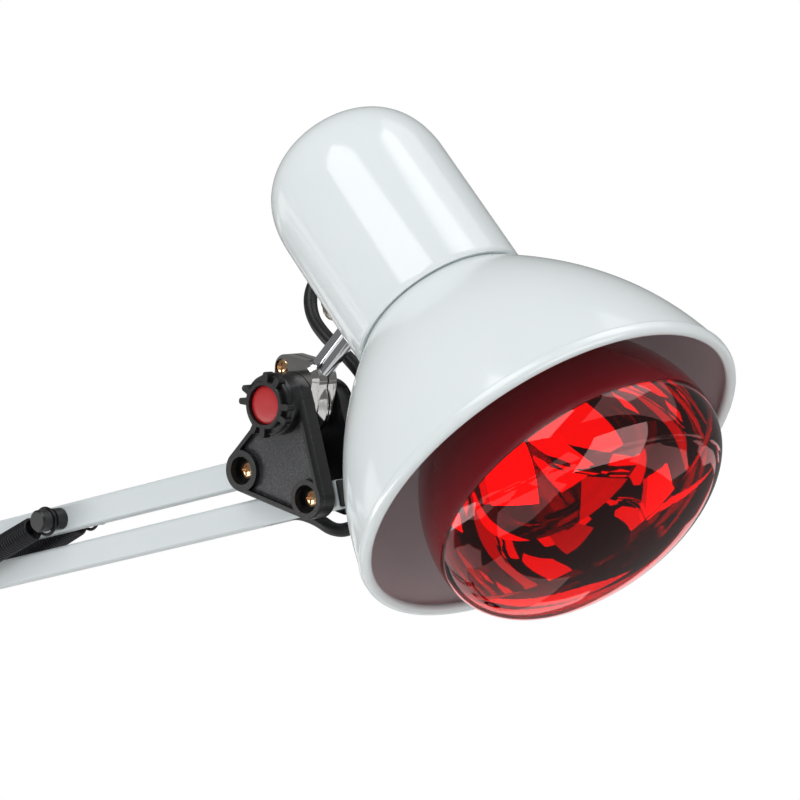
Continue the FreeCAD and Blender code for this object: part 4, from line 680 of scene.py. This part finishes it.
# ---------------------------------------------------------------- springs
@dataclass
class SpringPair:
    """Tension springs on both sides of an arm, hooked round pegs on two bodies."""

    name: str
    node: str
    still_body: str
    moving_body: str
    near_peg: np.ndarray
    far_peg: np.ndarray
    near_face: float
    far_face: float
    lead: float
    far_lead: float
    groove: float = 7.5
    coil_radius: float = 4.85
    wire: float = 0.75
    pitch: float = 1.62
    loop: float = 6.0
    peg_neck: float = 3.6
    turning_share: float = 0.3
    end_share: float = 0.15
    loop_half_turns: float = 1.85
    lead_share: float = 0.94
    steps_per_turn: int = 20

    def coil(self, first: np.ndarray, last: np.ndarray, across: np.ndarray) -> Surface:
        """Helix about the line from first to last: the radius swells from and back to the axis."""
        length = np.linalg.norm(last - first)
        along = unit(last - first)
        side = unit(np.cross(across, along))
        other = np.cross(along, side)
        turns = length / self.pitch
        share = np.linspace(0.0, 1.0, int(turns * self.steps_per_turn))
        swell = np.clip(np.minimum(share, 1.0 - share) * turns * 2.0, self.end_share, 1.0)
        radius = self.coil_radius * swell
        angle = share * turns * 2.0 * np.pi
        ring = np.cos(angle)[:, None] * side + np.sin(angle)[:, None] * other
        path = first + share[:, None] * (last - first) + radius[:, None] * ring
        return swept(path, self.wire, along, sides=8)

    def hook(self, peg: np.ndarray, towards: np.ndarray, across: np.ndarray) -> Surface:
        """Straight end of the wire and a round loop that hangs in the peg's groove."""
        along = unit(towards - peg)
        side = np.cross(along, across)
        angle = np.linspace(0.0, self.loop_half_turns * np.pi, 48)[:, None]
        middle = peg + along * (self.loop - self.peg_neck - self.wire)
        loop = middle + self.loop * (np.cos(angle) * along + np.sin(angle) * side)
        lead = np.linspace(0.0, 1.0, 12)[:, None] * (loop[0] - towards) * self.lead_share + towards
        return swept(np.vstack([lead, loop[2:]]), self.wire, across, sides=8)

    def build(self) -> list[Piece]:
        """Makes both springs as one piece, from the pegs on one body to those on the other."""
        across = ACROSS
        whole: Surface | None = None
        for side in (-1.0, 1.0):
            near = self.near_peg + across * side * (self.near_face + self.groove)
            far = self.far_peg + across * side * (self.far_face + self.groove)
            along = unit(far - near)
            first, last = near + along * self.lead, far - along * self.far_lead
            for surface in (self.coil(first, last, across), self.hook(near, first, across),
                            self.hook(far, last, across)):
                whole = surface if whole is None else whole.joined(surface)
        piece = make_piece(self.name, whole, SPRING_WIRE, sharp_degrees=70.0)
        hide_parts(self.node)
        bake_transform(piece)
        return [piece]


# ---------------------------------------------------------------- flexes and mains lead
def spline_curve(name: str, route: np.ndarray, radius: float, resolution: int) -> bpy.types.Curve:
    """Round cord on a NURBS spline of order 3 whose control points are the route's.

    Args:
        name: Of the curve.
        route: Control points in millimetres.
        radius: Of the cord, in millimetres.
        resolution: Steps between control points.

    Returns:
        The curve, in metres.
    """
    curve = bpy.data.curves.new(name, "CURVE")
    curve.dimensions = "3D"
    curve.bevel_depth = radius * MM
    curve.bevel_resolution = 3
    curve.use_fill_caps = True
    curve.resolution_u = resolution
    curve.twist_mode = "MINIMUM"
    spline = curve.splines.new("NURBS")
    spline.points.add(len(route) - 1)
    weighted = np.hstack([route * MM, np.ones((len(route), 1))])
    spline.points.foreach_set("co", weighted.ravel())
    spline.order_u = 3
    spline.use_endpoint_u = True
    return curve


@dataclass
class BarPlug:
    """Moulded plug in the open end of the forearm's lower bar. Millimetres."""

    bar_length: float = 348.0
    side: float = 11.4
    flange: float = 1.6
    rounding: float = 0.7

    def build(self) -> list[Piece]:
        """Makes the plug's flange on the bar's end."""
        foot = joint_point("forearm_swing")
        along = unit(joint_point("bracket_level") - foot)
        middle = foot + along * (self.bar_length + self.flange / 2.0)
        place = axes_matrix(middle, along, np.cross(along, ACROSS))
        size = np.array([self.flange, self.side, self.side]) * MM
        piece = rounded_block("lower_bar_plug", place, size, self.rounding * MM,
                              PLAIN_MOULDING.material())
        return [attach(piece, "forearm_lower")]


@dataclass
class HeldFlex:
    """Stretch of flex between two bodies that one joint joins."""

    node: str
    start_body: str
    end_body: str
    route: list
    radius: float = 3.0

    def build(self) -> list[Piece]:
        """Makes the stretch as a tube."""
        route = np.array(self.route, float)
        curve = spline_curve(self.node + "_line", route, self.radius, 16)
        holder = placed(self.node + "_line", curve)
        bpy.context.view_layer.update()
        graph = bpy.context.evaluated_depsgraph_get()
        mesh = bpy.data.meshes.new_from_object(holder.evaluated_get(graph))
        bpy.data.objects.remove(holder)
        bpy.data.curves.remove(curve)
        piece = finished(self.node + "_sheath", mesh, SHEATH, 50.0)
        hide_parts(self.node)
        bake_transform(piece)
        return [piece]


@dataclass
class FlexRun:
    """All held stretches of the flex, from the neck to the clip on the clamp. Millimetres."""

    drop: float = -1.9
    exit_back: float = -137.0
    exit_turn_degrees: float = 58.0
    exit_radius: float = 38.9

    def __post_init__(self) -> None:
        """Reads the pivots that the routes are measured from."""
        self.knuckle = joint_point("head_tilt")
        self.forearm = joint_point("forearm_swing")
        self.forearm_axis = unit(joint_point("bracket_level") - self.forearm)
        self.lower = joint_point("lower_arm_swing")
        self.lower_axis = unit(joint_point("elbow_level") - self.lower)

    def from_knuckle(self, *points: Point) -> list[np.ndarray]:
        """Points given across, back and up from the tilt axis."""
        return [self.knuckle + np.array(point) for point in points]

    def on_forearm(self, *points: tuple[float, float]) -> list[np.ndarray]:
        """Points given along the forearm's lower tube and above its middle."""
        return [self.forearm + along * self.forearm_axis + above * self.above(self.forearm_axis)
                for along, above in points]

    def on_lower_arm(self, *points: tuple[float, float]) -> list[np.ndarray]:
        """Points given along the lower arm's front tube and above its middle."""
        return [self.lower + along * self.lower_axis + above * self.above(self.lower_axis)
                for along, above in points]

    @staticmethod
    def above(axis: np.ndarray) -> np.ndarray:
        """Direction across a tube, in the plane that the arms move in."""
        return np.cross(axis, ACROSS)

    def leaving_neck(self, reach: float) -> np.ndarray:
        """A point straight out of the gland in the neck's skin."""
        turn = math.radians(self.exit_turn_degrees)
        outward = np.array([math.cos(turn), math.sin(turn), 0.0])
        local = outward * (self.exit_radius + reach) + np.array([0.0, 0.0, self.exit_back])
        return np.array(HeadPlace().matrix() @ Vector(local * MM)) / MM

    def stretches(self) -> list[HeldFlex]:
        """The routes, each joined to the next halfway between their nearest points."""
        drop = self.drop
        neck = [self.leaving_neck(3.6), self.leaving_neck(13.0)] + self.from_knuckle(
            (14, 48.5, 54.5), (-4, 42, 59.5), (-17, 33.5, 56), (-20.5, 27, 46))
        knuckle = self.from_knuckle((-15.5, 22.5, 34.5), (-4, 20, 25.5), (8, 21, 17.5),
                                    (17, 22, 8), (22.5, 23, -4))
        bracket = self.from_knuckle(
            (26, 23.5, -17), (30, 21, -31), (31, 13, -43), (27, 5.5, -51), (18, 1, -54.5)
        ) + self.on_forearm((328, drop - 5), (314, drop), (298, drop))
        elbow_upper = self.on_forearm((54, drop), (43, drop), (33.5, drop - 4.5), (26, drop - 13))
        elbow = joint_point("elbow_level")
        elbow_lower = [elbow + np.array([32, 0, -7]), elbow + np.array([29.5, 0, -19]),
                       *self.on_lower_arm((302, -7.5), (289, drop), (276, drop))]
        base_upper = self.on_lower_arm((62, drop), (50, drop), (38.5, drop - 5.5),
                                       (28.5, drop - 15)) + [np.array([32, 2.5, 66])]
        base_upper[3] = base_upper[3] + np.array([1, 1, 0])
        base_lower = [np.array(point) for point in (
            (38.5, -6, 38), (41, -16, 27.5), (39, -26, 18.5), (33.5, -32, 13),
            (27, -29.5, 11.4), (24.6, -20, 11.4))] + [CLIP - CLIP_HALF, CLIP + CLIP_HALF]

        def halfway(route: list, following: list) -> np.ndarray:
            """Middle of the run between two routes."""
            return (route[-1] + following[0]) / 2.0

        into_jaw, into_bracket = halfway(neck, knuckle), halfway(knuckle, bracket)
        at_elbow, at_base = halfway(elbow_upper, elbow_lower), halfway(base_upper, base_lower)
        return [
            HeldFlex("neck_flex", "head", "jaw", neck + [into_jaw]),
            HeldFlex("knuckle_flex", "jaw", "head_bracket", [into_jaw] + knuckle + [into_bracket]),
            HeldFlex("bracket_flex", "head_bracket", "forearm_lower", [into_bracket] + bracket),
            HeldFlex("elbow_flex_upper", "forearm_lower", "elbow", elbow_upper + [at_elbow]),
            HeldFlex("elbow_flex_lower", "elbow", "lower_front_arm", [at_elbow] + elbow_lower),
            HeldFlex("base_flex_upper", "lower_front_arm", "turret", base_upper + [at_base]),
            HeldFlex("base_flex_lower", "turret", "clamp", [at_base] + base_lower)]

    def build(self) -> list[Piece]:
        """Makes every stretch."""
        return [piece for stretch in self.stretches() for piece in stretch.build()]


@dataclass
class MainsLead:
    """Free lead from the clip through the switch to a wound coil and the plug. Millimetres."""

    length: float = 1800.0
    radius: float = 3.0
    switch: Point = (43.0, 97.0, 0.0)
    switch_direction: Point = (0.16, 0.987, 0.0)
    switch_length: float = 62.0
    coil: Point = (22.0, 218.0, 0.0)
    coil_outer: float = 43.0
    coil_inner: float = 21.6
    coil_step: float = 6.05
    coil_turns: float = 7.5
    points_per_turn: int = 16
    start_degrees: float = -24.0
    plug_tail: Point = (-26.0, 162.0, 18.5)
    plug_direction: Point = (-0.1, -1.0, 0.0)

    def coil_points(self) -> np.ndarray:
        """Spiral inwards on the table, a rise of half a turn, and a spiral outwards on top of it.

        The control points lie outside the line that they give by one part in the cosine of half
        their step, so the radius is divided by it.
        """
        count = int(self.coil_turns * self.points_per_turn)
        turn = np.linspace(0.0, self.coil_turns, count)
        inwards = (self.coil_outer - self.coil_inner) / self.coil_step
        rise = 0.5
        radius = np.where(turn < inwards, self.coil_outer - turn * self.coil_step,
                          self.coil_inner + np.maximum(turn - inwards - rise, 0.0) * self.coil_step)
        height = self.radius + self.coil_step * np.clip((turn - inwards) / rise, 0.0, 1.0)
        angle = math.radians(self.start_degrees) + turn * 2.0 * np.pi
        radius = radius / math.cos(math.pi / self.points_per_turn)
        return np.array(self.coil) + np.stack(
            [radius * np.cos(angle), radius * np.sin(angle), height], axis=1)

    def route(self) -> np.ndarray:
        """All control points, from the clip to the plug's tail."""
        into = np.array(self.switch)
        along = unit(np.array(self.switch_direction))
        out = into + along * self.switch_length
        lift = np.array([0.0, 0.0, self.radius])
        tail, plug = np.array(self.plug_tail), unit(np.array(self.plug_direction))
        first = [CLIP + CLIP_HALF, CLIP + (0, 22, 0), (25, 36, 7.5), (29, 50, 3.4), (36, 66, 3),
                 (40.5, 82, 3), into + lift]
        second = [out + lift, out + along * 11 + lift, (59.5, 180, 3), (62, 192, 3)]
        third = [(-19.5, 215, 9.1), (-20, 199, 10.5), (-22, 184, 15.5), tail - plug * 7, tail,
                 tail + plug * 4]
        return np.vstack([np.array(first, float), into + along * self.switch_length / 2 + lift,
                          np.array(second, float), self.coil_points(), np.array(third, float)])

    def build(self) -> list[Piece]:
        """Makes the lead on its spline."""
        route = self.route()
        curve = spline_curve("mains_lead_cord", route, self.radius, 10)
        piece = placed("mains_lead_cord", curve)
        curve.materials.append(SHEATH.material())
        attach(piece, "clamp")
        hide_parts("mains_lead", "lead_coil")
        return [piece]


# ---------------------------------------------------------------- finishes of the frame's nodes
def dress_nodes() -> None:
    """Gives every node of the frame its finish."""
    for name, node in frame["nodes"].items():
        node.data.materials.clear()
        node.data.materials.append(FINISH_OF_NODE[name].material())
    LOG.info("%d nodes dressed", len(frame["nodes"]))


# ---------------------------------------------------------------- studio
@dataclass
class Studio:
    """Board that the clamp holds, pale floor, soft lights and the camera. Metres."""

    board_low: Point = (-0.0195, -0.16, -0.025)
    board_high: Point = (0.34, 0.32, 0.0)
    plinth_low: Point = (0.06, -0.13, -0.115)
    plinth_high: Point = (0.33, 0.29, -0.025)
    floor_height: float = -0.115
    floor_radius: float = 5.0
    floor_corners: int = 96
    shadow_fade: tuple[float, float] = (0.45, 1.44)
    camera_azimuth: float = 40.59
    camera_elevation: float = 4.37
    camera_place: Point = (1.1112, -1.0314, 0.6204)
    camera_lens: float = 148.54
    aim: Point = (0.2, 0.0, 0.5)
    ambient_level: float = 0.56
    gloss_sheet: float = 1.0
    gloss_cloth: float = 0.2
    sheet_level: float = 1.3
    cloth_level: float = 0.015
    dark_share: float = 0.55
    floor_sheet: float = 0.8
    world_sheet: float = 1.1

    def white_where_seen(self) -> bpy.types.Material:
        """Pale floor that keeps shadows near the object and is plain white further off."""
        made = bpy.data.materials.new("studio_floor")
        tree = cleared_tree(made)
        where = add(tree, "ShaderNodeTexCoord").outputs["Object"]
        flat = add(tree, "ShaderNodeMapping", {"Vector": where, "Scale": (1.0, 1.0, 0.0)})
        distance = add(tree, "ShaderNodeVectorMath", {0: flat.outputs["Vector"]},
                       operation="LENGTH")
        far = add(tree, "ShaderNodeMapRange", {
            "Value": distance.outputs["Value"], "From Min": self.shadow_fade[0],
            "From Max": self.shadow_fade[1]})
        path = add(tree, "ShaderNodeLightPath")
        share = computed(tree, "MULTIPLY", path.outputs["Is Camera Ray"], far.outputs["Result"])
        paper = add(tree, "ShaderNodeBsdfDiffuse", {"Color": linear("#F1F1F0")})
        white = add(tree, "ShaderNodeEmission", {"Color": linear("#FFFFFF"), "Strength": 1.0})
        mix = add(tree, "ShaderNodeMixShader", {
            0: share, 1: paper.outputs["BSDF"], 2: white.outputs["Emission"]})
        seen_in_gloss = self.room(tree, where, path, self.floor_sheet)
        sheets = add(tree, "ShaderNodeEmission", {
            "Color": linear("#FFFFFF"), "Strength": seen_in_gloss})
        final = add(tree, "ShaderNodeMixShader", {
            0: mirrored_or_through(tree, path), 1: mix.outputs["Shader"],
            2: sheets.outputs["Emission"]})
        add(tree, "ShaderNodeOutputMaterial", {"Surface": final.outputs["Shader"]})
        return made

    def room(self, tree: Tree, where: Socket, path: bpy.types.Node, sheet: float) -> Socket:
        """Brightness of the room's white sheets and dark cloths, in gloss and inside the lamp.

        Args:
            tree: Node tree of floor or world.
            where: Position on the floor, or direction in the world.
            path: The tree's light path node.
            sheet: Width of a sheet, in the units of where.

        Returns:
            Strength for rays that a surface mirrors, or that have gone through glass.
        """
        cells = add(tree, "ShaderNodeTexVoronoi", {"Vector": where, "Scale": 1.0 / sheet})
        parts = add(tree, "ShaderNodeSeparateXYZ", {"Vector": cells.outputs["Color"]})
        bright = computed(tree, "GREATER_THAN", parts.outputs["X"], self.dark_share)
        inside = add(tree, "ShaderNodeMapRange", {
            "Value": bright, "To Min": self.cloth_level, "To Max": self.sheet_level})
        outside = add(tree, "ShaderNodeMapRange", {
            "Value": bright, "To Min": self.gloss_cloth, "To Max": self.gloss_sheet})
        through = computed(tree, "GREATER_THAN", path.outputs["Transmission Depth"], 0.5)
        return mixed(tree, through, outside.outputs["Result"], inside.outputs["Result"], "FLOAT")

    def block(self, name: str, low: Point, high: Point, bevel: float,
              dress: bpy.types.Material) -> None:
        """Box with rounded edges that stands in for furniture; it isn't part of the object."""
        place = Matrix.Translation((Vector(low) + Vector(high)) / 2.0)
        rounded_block(name, place, np.array(high) - np.array(low), bevel, dress)

    def build_floor(self) -> None:
        """Floor, plinth and board."""
        mesh = bpy.data.meshes.new("floor")
        angle = np.linspace(0.0, 2.0 * np.pi, self.floor_corners, endpoint=False)
        ring = np.stack([self.floor_radius * np.cos(angle), self.floor_radius * np.sin(angle),
                         np.full(self.floor_corners, self.floor_height)], axis=1)
        mesh.from_pydata(ring.tolist(), [], [list(range(self.floor_corners))])
        mesh.materials.append(self.white_where_seen())
        placed("floor", mesh)
        laminate = Finish("table_laminate", "enamel", "#E9E7E3", "#EDEBE8", 0.35)
        self.block("table_board", self.board_low, self.board_high, 0.002, laminate.material())
        self.block("table_plinth", self.plinth_low, self.plinth_high, 0.003, laminate.material())

    def build_world(self) -> None:
        """White where the camera looks past the object, a dim room in what gloss and glass show."""
        world = bpy.data.worlds.new("studio")
        tree = cleared_tree(world)
        path = add(tree, "ShaderNodeLightPath")
        direction = add(tree, "ShaderNodeTexCoord").outputs["Generated"]
        room = self.room(tree, direction, path, self.world_sheet)
        ambient = mixed(tree, mirrored_or_through(tree, path), self.ambient_level, room, "FLOAT")
        strength = mixed(tree, path.outputs["Is Camera Ray"], ambient, 1.0, "FLOAT")
        back = add(tree, "ShaderNodeBackground", {
            "Color": linear("#FFFFFF"), "Strength": strength})
        add(tree, "ShaderNodeOutputWorld", {"Surface": back.outputs["Background"]})
        bpy.context.scene.world = world

    def softbox(self, name: str, azimuth: float, elevation: float, distance: float, width: float,
                height: float, power: float, diffuse: bool = True, gloss: bool = True) -> None:
        """Rectangular light that faces the head from a direction given as the camera's is."""
        light = bpy.data.lights.new(name, "AREA")
        light.shape = "RECTANGLE"
        light.size, light.size_y, light.energy = width, height, power
        lamp = placed(name, light)
        towards = self.direction(azimuth, elevation)
        lamp.location = Vector(self.aim) + towards * distance
        lamp.rotation_mode = "QUATERNION"
        lamp.rotation_quaternion = (-towards).to_track_quat("-Z", "Y")
        lamp.visible_diffuse, lamp.visible_glossy = diffuse, gloss

    @staticmethod
    def direction(azimuth: float, elevation: float) -> Vector:
        """Unit vector back from the object; azimuth 0 looks along +Y and 90 along -X."""
        turn, rise = math.radians(azimuth), math.radians(elevation)
        level = math.cos(rise)
        return Vector((math.sin(turn) * level, -math.cos(turn) * level, math.sin(rise)))

    def build_camera(self) -> None:
        """Camera that looks slightly down at the head."""
        data = bpy.data.cameras.new("camera")
        data.lens = self.camera_lens
        data.sensor_width = 36.0
        data.clip_start, data.clip_end = 0.05, 50.0
        camera = placed("camera", data)
        camera.location = self.camera_place
        camera.rotation_mode = "QUATERNION"
        towards = -self.direction(self.camera_azimuth, self.camera_elevation)
        camera.rotation_quaternion = towards.to_track_quat("-Z", "Y")
        bpy.context.scene.camera = camera

    def build(self) -> None:
        """Sets the whole studio."""
        self.build_camera()
        self.build_world()
        self.build_floor()
        self.softbox("key_softbox", 5.0, 50.0, 1.5, 1.0, 0.8, 7.5)
        self.softbox("low_fill", -48.0, -24.0, 1.6, 1.1, 0.8, 10.0)
        self.softbox("side_window", 88.0, -13.0, 1.6, 1.2, 1.6, 19.0, diffuse=False)
        self.softbox("roof_window", 120.0, 62.0, 1.6, 0.7, 0.9, 4.0)
        self.softbox("front_fill", 20.0, 12.0, 1.8, 1.2, 1.2, 3.0, gloss=False)
        self.softbox("side_fill", 95.0, -8.0, 1.6, 1.2, 1.2, 4.5, gloss=False)
        bpy.context.scene.view_settings.view_transform = "Standard"


# ---------------------------------------------------------------- whole lamp
def spring_pairs() -> list[SpringPair]:
    """The balance springs of forearm and lower arm, from pegs on the arms to pegs on the plates."""
    down = np.array([0.0, 0.0, -1.0])
    upper, lower = joint_point("forearm_upper_swing"), joint_point("lower_arm_swing")
    forearm_axis = unit(joint_point("bracket_level") - joint_point("forearm_swing"))
    elbow = joint_point("elbow_level")
    lower_axis = unit(elbow - lower)
    rear_elbow = elbow + joint_point("lower_rear_swing") - lower
    return [
        SpringPair("forearm_spring_coils", "forearm_springs", "elbow", "forearm_upper",
                   upper + forearm_axis * 213.8, (elbow + rear_elbow) / 2 + down * 4.0,
                   6.0, 17.0, 9.5, 40.0),
        SpringPair("lower_arm_spring_coils", "lower_arm_springs", "turret", "lower_front_arm",
                   lower + lower_axis * 150.0, np.array([-24.0, 0.0, 60.0]),
                   6.0, 14.5, 12.0, 28.0)]


def main() -> None:
    """Builds every piece of the lamp in order, then the studio."""
    dress_nodes()
    Studio().build()
    head = HeadPlace()
    builders = [("mains lead", MainsLead().build), ("held flex", FlexRun().build),
                ("shade", lambda: Shade().build(head.matrix())),
                ("lamp", lambda: LampBulb().build(head.lamp_matrix()))]
    builders += [(pair.name, pair.build) for pair in spring_pairs()]
    builders.append(("bar plug", BarPlug().build))
    for name, build in builders:
        made = build()
        LOG.info("%s: %d piece(s)", name, len(made))


if __name__ == "__main__":
    main()
